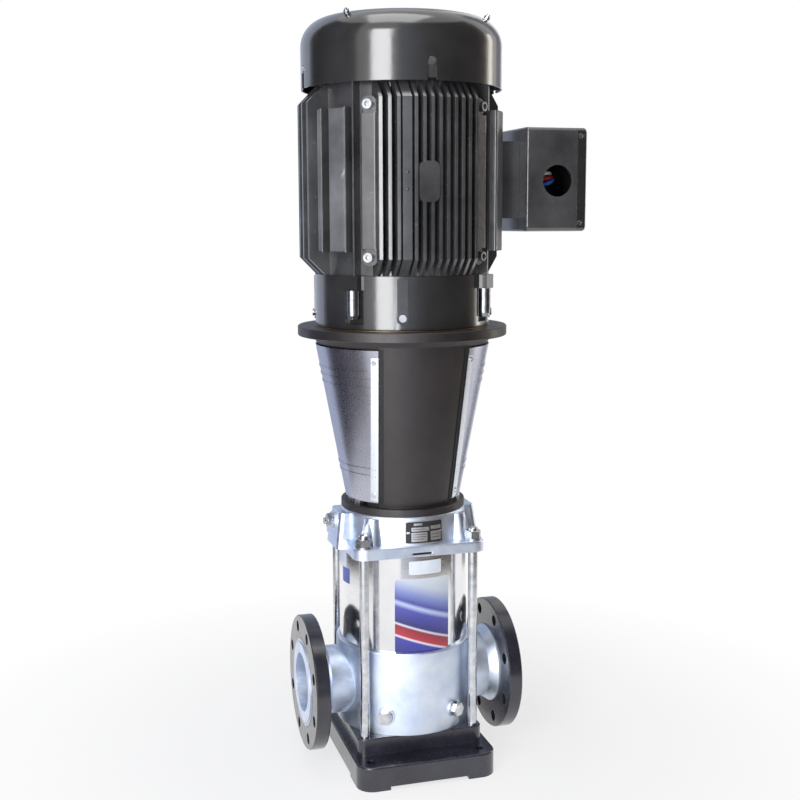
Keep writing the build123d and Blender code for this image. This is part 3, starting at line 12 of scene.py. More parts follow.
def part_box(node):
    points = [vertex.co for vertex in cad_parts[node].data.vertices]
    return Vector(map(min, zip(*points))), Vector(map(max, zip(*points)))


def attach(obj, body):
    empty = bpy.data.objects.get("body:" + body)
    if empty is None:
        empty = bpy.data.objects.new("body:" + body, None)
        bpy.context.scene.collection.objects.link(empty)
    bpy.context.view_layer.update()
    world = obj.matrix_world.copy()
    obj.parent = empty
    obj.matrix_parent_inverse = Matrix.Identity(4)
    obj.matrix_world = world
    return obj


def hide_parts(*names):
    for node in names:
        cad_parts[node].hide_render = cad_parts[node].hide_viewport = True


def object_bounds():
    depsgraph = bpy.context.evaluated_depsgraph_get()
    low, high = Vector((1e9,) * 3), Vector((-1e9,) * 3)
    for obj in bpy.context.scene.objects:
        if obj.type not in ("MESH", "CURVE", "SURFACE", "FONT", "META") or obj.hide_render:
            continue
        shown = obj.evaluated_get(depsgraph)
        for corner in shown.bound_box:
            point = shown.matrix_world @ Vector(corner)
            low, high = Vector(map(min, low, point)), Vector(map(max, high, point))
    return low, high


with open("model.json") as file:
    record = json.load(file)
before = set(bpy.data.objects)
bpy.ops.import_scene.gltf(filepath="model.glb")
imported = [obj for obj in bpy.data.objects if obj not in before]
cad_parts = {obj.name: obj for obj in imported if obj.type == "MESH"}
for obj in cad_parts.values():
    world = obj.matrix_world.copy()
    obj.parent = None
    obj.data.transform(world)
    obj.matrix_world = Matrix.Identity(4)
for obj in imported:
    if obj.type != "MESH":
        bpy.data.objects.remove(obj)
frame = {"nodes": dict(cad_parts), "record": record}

CAD_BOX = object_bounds()
NODES = frame["nodes"]
MM = 0.001

# ---------------------------------------------------------------- small helpers


def linear(hex_colour):
    """sRGB hex to the linear colour that a shader socket takes."""
    channels = [int(hex_colour[i:i + 2], 16) / 255 for i in (1, 3, 5)]
    return (*(c / 12.92 if c <= 0.04045 else ((c + 0.055) / 1.055) ** 2.4 for c in channels), 1.0)


def add(tree, kind, links=None, values=None, **settings):
    """Adds one shader node: its properties, its socket values and what feeds its sockets."""
    made = tree.nodes.new(kind)
    for key, value in settings.items():
        setattr(made, key, value)
    for socket, value in (values or {}).items():
        made.inputs[socket].default_value = value
    for socket, source in (links or {}).items():
        tree.links.new(source, made.inputs[socket])
    return made


def features(size_mm, detail=3.0, rough=0.55):
    """Noise settings for features about this many millimetres across."""
    return {"Scale": 1000 / size_mm, "Detail": detail, "Roughness": rough}


def between(low, high, start=0.25, end=0.75):
    """Range settings that turn a field into numbers. A noise field seldom leaves 0.25 to 0.75."""
    return {"From Min": start, "From Max": end, "To Min": low, "To Max": high}


def two_tones(low_hex, high_hex):
    """Stops for a slow change from one tone to another over the middle of a noise field."""
    return ((0.3, low_hex), (0.7, high_hex))


def set_stops(ramp, stops):
    """Gives a colour ramp its stops, pairs of a place from 0 to 1 and a colour, and returns its colour."""
    first, last = ramp.color_ramp.elements
    first.position, first.color = stops[0][0], linear(stops[0][1])
    last.position, last.color = stops[-1][0], linear(stops[-1][1])
    for place, colour in stops[1:-1]:
        ramp.color_ramp.elements.new(place).color = linear(colour)
    return ramp.outputs["Color"]


def place_in_scene(name, data):
    """A new object in the scene from its mesh, curve, lamp or camera data."""
    made = bpy.data.objects.new(name, data)
    bpy.context.scene.collection.objects.link(made)
    return made


# ---------------------------------------------------------------- finishes


def start_material(name, metallic=0.0, **sockets):
    """A named material with its Principled shader and the object's own position to drive patterns."""
    made = bpy.data.materials.new(name)
    made.use_nodes = True
    tree = made.node_tree
    shader = tree.nodes["Principled BSDF"]
    shader.inputs["Metallic"].default_value = metallic
    for socket, value in sockets.items():
        shader.inputs[socket.replace("_", " ")].default_value = value
    place = add(tree, "ShaderNodeTexCoord").outputs["Object"]
    return made, tree, shader, place


def lay_finish(tree, shader, colour, gloss, height, edge_mm=0.0):
    """Lays colour, gloss and height on a shader, each over its own 0 to 1 field.

    colour is (field, stops), gloss is (field, smoothest, dullest) and height is (field, depth in mm).
    Edges look softened to edge_mm.
    """
    ramp = add(tree, "ShaderNodeValToRGB", {"Fac": colour[0]})
    tree.links.new(set_stops(ramp, colour[1]), shader.inputs["Base Color"])
    rough = add(tree, "ShaderNodeMapRange", {"Value": gloss[0]}, between(gloss[1], gloss[2]))
    tree.links.new(rough.outputs["Result"], shader.inputs["Roughness"])
    links = {"Height": height[0]}
    if edge_mm:
        worn_edge = add(tree, "ShaderNodeBevel", None, {"Radius": edge_mm * MM}, samples=4)
        links["Normal"] = worn_edge.outputs["Normal"]
    bump = add(tree, "ShaderNodeBump", links, {"Strength": 1.0, "Distance": height[1] * MM})
    tree.links.new(bump.outputs["Normal"], shader.inputs["Normal"])


def cast_enamel(name, dark, light, grain_mm, depth_mm, gloss, edge_mm=1.0, coat=0.5):
    """Sprayed enamel over a sand casting: the sand shows through as a soft pebble, dust dulls it in patches."""
    made, tree, shader, place = start_material(name, Coat_Weight=coat, Coat_Roughness=0.18, IOR=1.6)
    cloud = add(tree, "ShaderNodeTexNoise", {"Vector": place}, features(70, 4))
    dust = add(tree, "ShaderNodeTexNoise", {"Vector": place}, features(18, 3))
    pebble = add(tree, "ShaderNodeTexNoise", {"Vector": place}, features(grain_mm, 3, 0.6))
    lay_finish(tree, shader, (cloud.outputs["Fac"], two_tones(dark, light)),
               (dust.outputs["Fac"], gloss - 0.06, gloss + 0.08), (pebble.outputs["Fac"], depth_mm), edge_mm)
    return made


def blasted_stainless(name, deep, pale):
    """Cast stainless steel after bead blasting: even satin with a fine dimple and faint bluish cast."""
    made, tree, shader, place = start_material(name, 1.0)
    cloud = add(tree, "ShaderNodeTexNoise", {"Vector": place}, features(45, 4))
    smear = add(tree, "ShaderNodeTexNoise", {"Vector": place}, features(9, 3))
    dimple = add(tree, "ShaderNodeTexNoise", {"Vector": place}, features(2.2, 2, 0.6))
    lay_finish(tree, shader, (cloud.outputs["Fac"], two_tones(deep, pale)),
               (smear.outputs["Fac"], 0.36, 0.48), (dimple.outputs["Fac"], 0.08), 1.2)
    return made


def drawn_stainless(name, pale, deep, rough, stretch, depth_mm, turn=0.0):
    """Sheet metal with a directional grain: low stretch numbers are the way that the grain runs."""
    made, tree, shader, place = start_material(name, 1.0, Anisotropic=turn)
    cloud = add(tree, "ShaderNodeTexNoise", {"Vector": place}, features(80, 3))
    drawn = add(tree, "ShaderNodeMapping", {"Vector": place}, {"Scale": stretch})
    grain = add(tree, "ShaderNodeTexNoise", {"Vector": drawn.outputs["Vector"]}, features(1.0, 2, 0.5))
    lay_finish(tree, shader, (cloud.outputs["Fac"], two_tones(deep, pale)),
               (grain.outputs["Fac"], rough - 0.04, rough + 0.06), (grain.outputs["Fac"], depth_mm))
    return made


def machined_steel(name, pale, deep, rough, mark_mm=1.5):
    """Turned or plated metal: light tool marks and small stains."""
    made, tree, shader, place = start_material(name, 1.0)
    stain = add(tree, "ShaderNodeTexNoise", {"Vector": place}, features(14, 4))
    turned = add(tree, "ShaderNodeMapping", {"Vector": place}, {"Scale": (0.35, 0.35, 1.0)})
    marks = add(tree, "ShaderNodeTexNoise", {"Vector": turned.outputs["Vector"]}, features(mark_mm, 2, 0.5))
    lay_finish(tree, shader, (stain.outputs["Fac"], two_tones(deep, pale)),
               (marks.outputs["Fac"], rough - 0.05, rough + 0.10), (marks.outputs["Fac"], 0.03), 0.5)
    return made


def moulded(name, dark, light, rough, grain_mm=1.2, depth_mm=0.04, **sockets):
    """Moulded plastic, rubber or carbon: a fine even skin with slow tone changes."""
    made, tree, shader, place = start_material(name, **sockets)
    cloud = add(tree, "ShaderNodeTexNoise", {"Vector": place}, features(25, 3))
    sheen = add(tree, "ShaderNodeTexNoise", {"Vector": place}, features(6, 2))
    skin = add(tree, "ShaderNodeTexNoise", {"Vector": place}, features(grain_mm, 2))
    lay_finish(tree, shader, (cloud.outputs["Fac"], two_tones(dark, light)),
               (sheen.outputs["Fac"], rough - 0.05, rough + 0.07), (skin.outputs["Fac"], depth_mm))
    return made


def bands(size_mm, **sockets):
    """Wave settings for bands this many millimetres apart: at scale 1 a wave turns 20 radians a metre."""
    return {"Scale": math.tau / 20 / (size_mm * MM), **sockets}


def stacked_laminations():
    """Electrical steel sheets of half a millimetre, drawn in groups of 25 so that they can be seen."""
    made, tree, shader, place = start_material("stacked_electrical_steel", 1.0)
    sheets = add(tree, "ShaderNodeTexWave", {"Vector": place},
                 bands(12.566, Distortion=0.3), bands_direction="Z")
    oil = add(tree, "ShaderNodeTexNoise", {"Vector": place}, features(5))
    lay_finish(tree, shader, (sheets.outputs["Fac"], two_tones("#3d4043", "#6c7074")),
               (oil.outputs["Fac"], 0.4, 0.55), (sheets.outputs["Fac"], 0.1))
    return made


def varnished_winding():
    """Enamelled copper wire in taped bundles of about nine millimetres, under clear varnish."""
    made, tree, shader, place = start_material("varnished_copper_winding", 0.8, Coat_Weight=0.6)
    wires = add(tree, "ShaderNodeTexWave", {"Vector": place},
                bands(9.425, Distortion=2.5, Detail=2.0) | {"Detail Scale": 1.2}, bands_direction="Z")
    varnish = add(tree, "ShaderNodeTexNoise", {"Vector": place}, features(8))
    lay_finish(tree, shader, (wires.outputs["Fac"], two_tones("#5c2a14", "#b4602f")),
               (varnish.outputs["Fac"], 0.28, 0.4), (wires.outputs["Fac"], 0.35))
    return made


# The label's inks from its lower left corner to its upper right, and how the bands lie on the sleeve: they
# climb as X falls by this share, and run between these two heights, in metres.
LABEL_INKS = ((0.00, "#2c2a7a"), (0.17, "#3a3a9c"), (0.19, "#e4e2ea"), (0.21, "#b02a3c"), (0.31, "#8e2136"),
              (0.33, "#dcdbe6"), (0.35, "#2b2870"), (0.52, "#4a4ca6"), (0.57, "#b9c6e4"), (0.61, "#46489e"),
              (0.72, "#8391c4"), (0.84, "#c3cbd8"), (1.00, "#d7dde2"))
LABEL_SLANT = 0.35
LABEL_CLIMB = (0.200, 0.352)


def printed_label():
    """Screen-printed vinyl: slanting bands of red, deep blue and pale blue that fade into silver, no words."""
    made, tree, shader, place = start_material("printed_vinyl_label", Coat_Weight=0.5, Coat_Roughness=0.12)
    axes = add(tree, "ShaderNodeSeparateXYZ", {"Vector": place})
    slant = add(tree, "ShaderNodeMath", {0: axes.outputs["X"], 2: axes.outputs["Z"]}, {1: LABEL_SLANT},
                operation="MULTIPLY_ADD")
    climb = add(tree, "ShaderNodeMapRange", {"Value": slant.outputs[0]}, between(0.0, 1.0, *LABEL_CLIMB))
    sheen = add(tree, "ShaderNodeTexNoise", {"Vector": place}, features(6, 2))
    film_wave = add(tree, "ShaderNodeTexNoise", {"Vector": place}, features(2.5, 2))
    lay_finish(tree, shader, (climb.outputs["Result"], LABEL_INKS), (sheen.outputs["Fac"], 0.26, 0.36),
               (film_wave.outputs["Fac"], 0.01))
    return made


# How far a drawn grain is stretched along X, Y and Z.
UP_THE_SHEET = (1.0, 1.0, 0.03)
ROUND_THE_TUBE = (0.04, 0.04, 1.0)
ROUND_THE_PLATE = (0.03, 0.03, 1.0)
ROUND_THE_PRESSING = (0.2, 0.2, 1.0)

MOTOR = cast_enamel("charcoal_enamel_cast_iron", "#343435", "#505051", 3.2, 0.12, 0.21, coat=0.8)
MOTOR_SMOOTH = cast_enamel("charcoal_enamel_pressed_steel", "#242425", "#303031", 4.0, 0.02, 0.14, 1.2, 0.9)
MOTOR_ROUGH = cast_enamel("charcoal_enamel_on_rough_sand_face", "#505153", "#757678", 2.4, 0.30, 0.36, 0.6)
# The dark tone is the enamel's own. Its blue-violet tint is painted sheen, laid over the whole casting.
BLACK_CASTING = cast_enamel("black_enamel_cast_iron_with_painted_sheen", "#1a1a22", "#2f2f3b", 2.6, 0.12, 0.24, 1.4)
STOOL = cast_enamel("umber_paint_cast_iron", "#150f10", "#272021", 3.6, 0.20, 0.50, 1.4, 0.1)
BLASTED = blasted_stainless("bead_blasted_cast_stainless", "#cddaf0", "#eaf2fd")
SLEEVE = drawn_stainless("polished_stainless_tube", "#f3f3f4", "#e6e6e9", 0.13, ROUND_THE_TUBE, 0.003)
GUARD = drawn_stainless("brushed_stainless_sheet", "#c2c4d2", "#b4b6c4", 0.24, UP_THE_SHEET, 0.0015, 0.4)
# This finish is paler than the guard sheet. The extra brightness is a painted highlight along the bent edge.
FOLD_PAINTED_HIGHLIGHT = drawn_stainless("bent_stainless_edge_with_painted_highlight", "#f2f6fb", "#e6edf6", 0.46, UP_THE_SHEET, 0.0015)
PRESSED = drawn_stainless("pressed_stainless_sheet", "#c6c9ce", "#adb1b8", 0.3, ROUND_THE_PRESSING, 0.02)
PLATE = drawn_stainless("satin_aluminium_plate", "#eceded", "#d6d8da", 0.34, ROUND_THE_PLATE, 0.006)
GREY_STEEL = machined_steel("phosphated_bolt_steel", "#aeb0b4", "#85878c", 0.30)
BRIGHT = machined_steel("bright_zinc_plated_steel", "#e2e3e6", "#bfc2c8", 0.20)
GROUND = machined_steel("ground_shaft_steel", "#cfd1d5", "#a9acb2", 0.24, 0.8)
COPPER = machined_steel("tinned_copper_washer", "#c4c6cc", "#a2a4ab", 0.3)
BRASS = machined_steel("brass_shim", "#b8935c", "#86683a", 0.36)
ROTOR = machined_steel("die_cast_rotor_aluminium", "#b9bcc0", "#94989d", 0.42, 3.0)
OXIDE = moulded("black_oxide_screw_steel", "#3a3b3e", "#56575a", 0.30, 0.8, 0.03, metallic=0.7)
RUBBER = moulded("moulded_black_rubber", "#0e0e0f", "#1a1a1b", 0.62)
CARBON = moulded("pressed_carbon_graphite", "#1b1c1e", "#2b2d30", 0.42)
FAN = moulded("moulded_black_polypropylene", "#121315", "#1e2023", 0.45)
BLOCK = moulded("moulded_brown_phenolic", "#2b1b12", "#3f2a1d", 0.4)
LAMINATED = stacked_laminations()
WINDING = varnished_winding()
LABEL = printed_label()
STICKER_WHITE = moulded("white_vinyl_film", "#d3dbe2", "#e4eaee", 0.35, 3.0, 0.01)
STICKER_BLUE = moulded("blue_vinyl_film", "#44579b", "#5468ad", 0.32, 3.0, 0.01)
PRINT = moulded("black_screen_ink", "#1d1e22", "#2c2d32", 0.45, 1.0, 0.01)
LEAD_COLOURS = {
    "blue": moulded("blue_pvc_lead_sheath", "#2c58a8", "#3a70c6", 0.32),
    "red": moulded("red_pvc_lead_sheath", "#a52525", "#c43330", 0.32),
    "white": moulded("white_pvc_lead_sheath", "#dcdad2", "#ece9e0", 0.32),
}

SLOT_FINISH = {
    "black_enamel": BLACK_CASTING, "motor_enamel": MOTOR, "stool_iron": STOOL, "cast_stainless": BLASTED,
    "polished_stainless": SLEEVE, "brushed_stainless": GUARD, "bright_fastener": BRIGHT,
    "black_oxide": OXIDE, "ground_steel": GROUND, "pressed_stainless": PRESSED, "aluminium_plate": PLATE,
    "rubber": RUBBER, "copper_gasket": COPPER, "carbon": CARBON, "lamination": LAMINATED,
    "winding": WINDING, "rotor_aluminium": ROTOR, "fan_plastic": FAN, "terminal_plastic": BLOCK,
    "lead_insulation": LEAD_COLOURS["red"],
}
NODE_FINISH = {
    "fan_cover": MOTOR_SMOOTH, "terminal_box_cover": MOTOR_SMOOTH, "drive_end_bell": MOTOR_SMOOTH,
    "bell_bolts": GREY_STEEL, "strip_bolts": GREY_STEEL,
}
SLOT_OF = {row["node"]: row["material_slot"] for row in frame["record"]["subparts"]}

for node_name, body in NODES.items():
    finish = NODE_FINISH.get(node_name, SLOT_FINISH[SLOT_OF[node_name]])
    if not body.data.materials:
        body.data.materials.append(finish)
    for material_slot in body.material_slots:
        material_slot.material = finish

# ---------------------------------------------------------------- pieces made here

SHARP_ANGLE = math.radians(32)


def mesh_piece(name, points, faces, finish, smooth=True):
    """A new mesh on the pump's fixed body, in metres, that takes its finish from a slot."""
    data = bpy.data.meshes.new(name)
    data.from_pydata([tuple(point) for point in points], [], faces)
    data.update()
    if smooth:
        data.shade_smooth()
        data.set_sharp_from_angle(angle=SHARP_ANGLE)
    data.materials.append(finish)
    made = place_in_scene(name, data)
    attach(made, "pump_frame")
    return made


def film(name, radius_mm, angles_deg, heights_mm, corner_mm, finish, proud_mm, flare_mm=0.0, steps=40):
    """A thin curved film with round corners on a drum about the pump axis.

    Angles run from the front towards +X. The drum's radius grows by flare_mm over the film's height.
    """
    points, faces = [], []
    width = math.radians(angles_deg[1] - angles_deg[0]) * radius_mm
    height = heights_mm[1] - heights_mm[0]
    for layer in (0, 1):
        for i in range(steps + 1):
            along = i / steps
            from_end = min(along, 1 - along) * width
            drop = 0.0
            if from_end < corner_mm:
                drop = corner_mm - math.sqrt(corner_mm ** 2 - (corner_mm - from_end) ** 2)
            angle = math.radians(angles_deg[0] + along * (angles_deg[1] - angles_deg[0]))
            for z in (heights_mm[0] + drop, heights_mm[1] - drop):
                r = radius_mm + proud_mm * layer + flare_mm * (z - heights_mm[0]) / height
                points.append((r * math.sin(angle) * MM, -r * math.cos(angle) * MM, z * MM))
    outer = 2 * (steps + 1)
    for a in range(0, 2 * steps, 2):
        faces.append((outer + a, outer + a + 2, outer + a + 3, outer + a + 1))
        faces.append((a + 1, a + 3, a + 2, a))
        faces.append((a, a + 2, outer + a + 2, outer + a))
        faces.append((a + 3, a + 1, outer + a + 1, outer + a + 3))
    last = 2 * steps
    faces.append((0, outer, outer + 1, 1))
    faces.append((last + 1, outer + last + 1, outer + last, last))
    return mesh_piece(name, points, faces, finish)


def lathe(name, outline_mm, centre_mm, finish, steps, axis=(0, 0, 1)):
    """A closed ring turned about an axis from (radius, height) corners, all off the axis."""
    points, faces = [], []
    count = len(outline_mm)
    turn = Vector((0, 0, 1)).rotation_difference(Vector(axis))
    for i in range(steps):
        angle = math.tau * i / steps
        for r, z in outline_mm:
            local = turn @ Vector((r * math.cos(angle), r * math.sin(angle), z))
            points.append((local + Vector(centre_mm)) * MM)
    for i in range(steps):
        here, there = i * count, (i + 1) % steps * count
        for k in range(count):
            after = (k + 1) % count
            faces.append((here + k, there + k, there + after, here + after))
    return mesh_piece(name, points, faces, finish)


# Thread shows on the free end of each tie rod above its nut. It runs out over its last few steps.
ROD_RADIUS = 8.0
THREAD_ROOT, THREAD_CREST, THREAD_PITCH = ROD_RADIUS - 0.15, ROD_RADIUS + 0.25, 2.0
THREAD_HALF_WIDTH = 0.42 * THREAD_PITCH
THREAD_STEPS, THREAD_RUN_OUT = 24, 8
THREAD_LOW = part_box("tie_rod_nuts")[1].z / MM + 0.5
THREAD_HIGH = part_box("tie_rods")[1].z / MM - 1.5


def screw_thread(name, x_mm, y_mm):
    """A helical thread ridge wound on an upright rod."""
    rings = int((THREAD_HIGH - THREAD_LOW) / THREAD_PITCH * THREAD_STEPS)
    points, faces = [], []
    for i in range(rings + 1):
        angle = math.tau * i / THREAD_STEPS
        z = THREAD_LOW + THREAD_PITCH * i / THREAD_STEPS
        fade = min(1.0, i / THREAD_RUN_OUT, (rings - i) / THREAD_RUN_OUT)
        crest = THREAD_ROOT + (THREAD_CREST - THREAD_ROOT) * fade
        for r, rise in ((THREAD_ROOT, -THREAD_HALF_WIDTH), (crest, 0.0), (THREAD_ROOT, THREAD_HALF_WIDTH)):
            points.append(((x_mm + r * math.cos(angle)) * MM, (y_mm + r * math.sin(angle)) * MM, (z + rise) * MM))
    for i in range(rings):
        a, b = 3 * i, 3 * i + 3
        faces += [(a, b, b + 1, a + 1), (a + 1, b + 1, b + 2, a + 2), (a + 2, b + 2, b, a)]
    faces += [(0, 1, 2), (3 * rings + 2, 3 * rings + 1, 3 * rings)]
    return mesh_piece(name, points, faces, BRIGHT, smooth=False)


rod_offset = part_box("tie_rods")[1].x / MM - ROD_RADIUS
for number, (side_x, side_y) in enumerate(((-1, -1), (1, -1), (1, 1), (-1, 1))):
    screw_thread(f"tie_rod_thread_{number}", side_x * rod_offset, side_y * rod_offset)

# Films on the sleeve: a blank white one above, a large one with plain colour bands, a blank blue one aside.
# Each has its angles, its heights and its corner radius.
SLEEVE_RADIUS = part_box("outer_sleeve")[1].x / MM
SLEEVE_FILM_PROUD = 0.2
SLEEVE_FILMS = (
    ("small", (-11.3, 18.6), (347.0, 370.0), 2.0, STICKER_WHITE),
    ("large", (-23.5, 27.0), (210.0, 340.0), 5.0, LABEL),
    ("side", (-84.0, -71.0), (318.0, 344.0), 2.0, STICKER_BLUE),
)
for which, angles, heights, corner, finish in SLEEVE_FILMS:
    film(f"sleeve_film_{which}", SLEEVE_RADIUS, angles, heights, corner, finish, SLEEVE_FILM_PROUD)


NEAR_MM = 2.0


def wall_at(node, z_mm):
    """Outer radius of a node near a height, in millimetres."""
    reach = [math.hypot(v.co.x, v.co.y) for v in NODES[node].data.vertices
             if abs(v.co.z / MM - z_mm) < NEAR_MM]
    return max(reach) / MM


# The rating plate carries an empty form: a dark ground, pale fields and dark rules without any text. Each
# box has its left, right, low and high edges as shares of the plate.
PLATE_LOW, PLATE_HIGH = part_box("rating_plate")
PLATE_Z = (PLATE_LOW.z / MM, PLATE_HIGH.z / MM)
PLATE_R = (wall_at("rating_plate", PLATE_Z[0]), wall_at("rating_plate", PLATE_Z[1]))
PLATE_ANGLES = [math.degrees(math.asin(x / MM / PLATE_R[0])) for x in (PLATE_LOW.x, PLATE_HIGH.x)]
PLATE_GROUND = ((0.02, 0.98, 0.04, 0.96),)
PLATE_FIELDS = ((0.16, 0.62, 0.55, 0.72), (0.66, 0.95, 0.60, 0.76), (0.16, 0.57, 0.10, 0.50),
                (0.66, 0.95, 0.12, 0.52), (0.22, 0.44, 0.80, 0.90), (0.04, 0.12, 0.46, 0.54))
PLATE_RULES = ((0.18, 0.55, 0.40, 0.42), (0.18, 0.55, 0.30, 0.32), (0.18, 0.48, 0.20, 0.22),
               (0.68, 0.93, 0.38, 0.40), (0.68, 0.93, 0.24, 0.26), (0.18, 0.50, 0.63, 0.65))
PLATE_FILM_STEPS = 16


def plate_films(names, boxes, corner_mm, finish, proud_mm):
    """Films on the rating plate, which flares with the head behind it."""
    flare = PLATE_R[1] - PLATE_R[0]
    for name, (left, right, low, high) in zip(names, boxes):
        angles = [PLATE_ANGLES[0] + (PLATE_ANGLES[1] - PLATE_ANGLES[0]) * share for share in (left, right)]
        heights = [PLATE_Z[0] + (PLATE_Z[1] - PLATE_Z[0]) * share for share in (low, high)]
        film(name, PLATE_R[0] + flare * low, angles, heights, corner_mm, finish, proud_mm,
             flare * (high - low), PLATE_FILM_STEPS)


plate_films(["plate_ground"], PLATE_GROUND, 1.0, PRINT, 0.10)
plate_films([f"plate_field_{number}" for number in range(len(PLATE_FIELDS))], PLATE_FIELDS, 0.4, PLATE, 0.18)
plate_films([f"plate_rule_{number}" for number in range(len(PLATE_RULES))], PLATE_RULES, 0.2, PRINT, 0.24)

# The stool's webs and guards: heights, cone radii and half widths of a web at the cone's two ends.
STOOL_FLANGE = 16.0
CONE_Z = (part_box("motor_stool")[0].z / MM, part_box("motor_stool")[1].z / MM - STOOL_FLANGE)
CONE_RADIUS = (93.0, 148.0)
WEB_HALF = (62.0, 76.0)
STRIP_ACROSS, STRIP_ALONG = 4, 30


def edge_strip(name, side, facing, across_mm, layers_mm, heights_mm, finish, slot):
    """A slim slab that follows the edge of a web up the cone: side is -1 or 1, facing is -1 for the front.

    across_mm is where it starts and ends beyond the web's edge, layers_mm how far it stands off the cone.
    """
    points, faces = [], []
    for stand_off in layers_mm:
        for j in range(STRIP_ALONG + 1):
            z = heights_mm[0] + (heights_mm[1] - heights_mm[0]) * j / STRIP_ALONG
            share = (z - CONE_Z[0]) / (CONE_Z[1] - CONE_Z[0])
            half = WEB_HALF[0] + (WEB_HALF[1] - WEB_HALF[0]) * share
            radius = CONE_RADIUS[0] + (CONE_RADIUS[1] - CONE_RADIUS[0]) * share + stand_off
            for i in range(STRIP_ACROSS + 1):
                x = half + across_mm[0] + (across_mm[1] - across_mm[0]) * i / STRIP_ACROSS
                points.append((side * x * MM, facing * math.sqrt(radius ** 2 - x ** 2) * MM, z * MM))
    row = STRIP_ACROSS + 1
    outer = row * (STRIP_ALONG + 1)
    for j in range(STRIP_ALONG):
        for i in range(STRIP_ACROSS):
            a = j * row + i
            faces.append((a, a + row, a + row + 1, a + 1))
            faces.append((outer + a, outer + a + 1, outer + a + row + 1, outer + a + row))
        for a, way in ((j * row, 1), (j * row + STRIP_ACROSS, -1)):
            faces.append((a, outer + a, outer + a + row, a + row)[::way])
    for i in range(STRIP_ACROSS):
        for a, way in ((i, -1), (STRIP_ALONG * row + i, 1)):
            faces.append((a, outer + a, outer + a + 1, a + 1)[::way])
    return mesh_piece(name, points, faces, finish)


# Each guard's long edges are folded, and the fold is paler than the sheet: a painted highlight. A dark strip
# at the edge of the web is painted shadow, where the web's side face is in shade. Both strips have where
# they start and end beyond the web's edge, how far their two faces stand off the cone, and their heights.
GUARD_LOW, GUARD_HIGH = (corner.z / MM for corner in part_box("coupling_guard_left"))
FOLD_STRIP = ((1.4, 11.9), (1.2, 2.4), (GUARD_LOW + 3, GUARD_HIGH - 12), FOLD_PAINTED_HIGHLIGHT, "brushed_stainless")
# This dark strip lies where the web's side face is in shade. It is painted shadow, not a seal.
PAINTED_SHADOW_STRIP = ((-6.0, 0.6), (-0.4, 0.9), (GUARD_LOW - 2, GUARD_HIGH + 2), RUBBER, "rubber")
for side, side_name in ((-1, "left"), (1, "right")):
    for facing, facing_name in ((-1, "front"), (1, "rear")):
        edge_strip(f"guard_fold_{facing_name}_{side_name}", side, facing, *FOLD_STRIP)
        edge_strip(f"guard_painted_shadow_{facing_name}_{side_name}", side, facing, *PAINTED_SHADOW_STRIP)

# Sand-cast skin of the frame's pads: the pitch of its points, how thick it is, how wide its worn rim is,
# and the depth and size of its coarse and fine lumps.
SKIN_PITCH, SKIN_THICK, SKIN_RIM = 2.4, 0.7, 3.0
SKIN_ROOT, SKIN_EDGE = -0.6, 0.15
SKIN_COARSE, SKIN_FINE = (0.55, 7.0), (0.40, 3.0)
# A scar is a slanting swell: its height, its lean, and its reach across and along.
SCAR_HEIGHT, SCAR_LEAN, SCAR_ACROSS, SCAR_ALONG = 1.5, 0.5, 3.0, 9.0


def cast_skin(name, angle_deg, half_mm, radius_mm, low_mm, high_mm, scar=None):
    """Sand-cast face of a frame pad: a thin slab whose front is pitted and swollen, its edge worn low."""
    across = max(4, int(2 * half_mm / SKIN_PITCH))
    along = int((high_mm - low_mm) / SKIN_PITCH)
    turn = Matrix.Rotation(math.radians(angle_deg), 3, "Z")
    points, faces = [], []
    for j in range(along + 1):
        for i in range(across + 1):
            x = -half_mm + 2 * half_mm * i / across
            z = low_mm + (high_mm - low_mm) * j / along
            rim = min(1.0, (half_mm - abs(x)) / SKIN_RIM, (z - low_mm) / SKIN_RIM, (high_mm - z) / SKIN_RIM)
            lump = (SKIN_COARSE[0] * turbulence.noise(Vector((x, angle_deg, z)) / SKIN_COARSE[1])
                    + SKIN_FINE[0] * turbulence.noise(Vector((x, 9, z)) / SKIN_FINE[1]))
            if scar:
                beside = (x - scar[0] - SCAR_LEAN * (z - scar[1])) / SCAR_ACROSS
                lump += SCAR_HEIGHT * math.exp(-beside ** 2 - ((z - scar[1]) / SCAR_ALONG) ** 2)
            points.append(turn @ Vector((x, -radius_mm - SKIN_EDGE - rim * (SKIN_THICK + lump), z)) * MM)
    front = len(points)
    wide = across + 1
    edge = [j * wide for j in range(along)] + [along * wide + i for i in range(across)]
    edge += [j * wide + across for j in range(along, 0, -1)] + list(range(across, 0, -1))
    for k in edge:
        flat = turn.inverted() @ points[k]
        points.append(turn @ Vector((flat.x, -(radius_mm + SKIN_ROOT) * MM, flat.z)))
    for j in range(along):
        for i in range(across):
            a = j * wide + i
            faces.append((a, a + 1, a + wide + 1, a + wide))
    for k in range(len(edge)):
        after = (k + 1) % len(edge)
        faces.append((edge[k], edge[after], front + after, front + k))
    faces.append(tuple(range(front, len(points))))
    return mesh_piece(name, points, faces, MOTOR_ROUGH)


# Rough faces of the cast pads on the motor frame: four wide ones and two narrow ones beside the front
# ribs. The first has a scar.
FRAME_LOW, FRAME_HIGH = (corner.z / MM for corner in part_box("stator_frame"))
SKIN_LOW, SKIN_HIGH = FRAME_LOW + 39.5, FRAME_HIGH - 41.5
WIDE_PAD, NARROW_PAD = (15.5, 169.0), (4.2, 168.0)
CAST_PADS = ((-53, WIDE_PAD), (53, WIDE_PAD), (127, WIDE_PAD), (233, WIDE_PAD), (-67, NARROW_PAD), (247, NARROW_PAD))
SCAR_PLACE = (9.0, FRAME_LOW + 156)
for number, (angle, (half, reach)) in enumerate(CAST_PADS):
    cast_skin(f"cast_pad_face_{number}", angle, half, reach, SKIN_LOW, SKIN_HIGH, None if number else SCAR_PLACE)

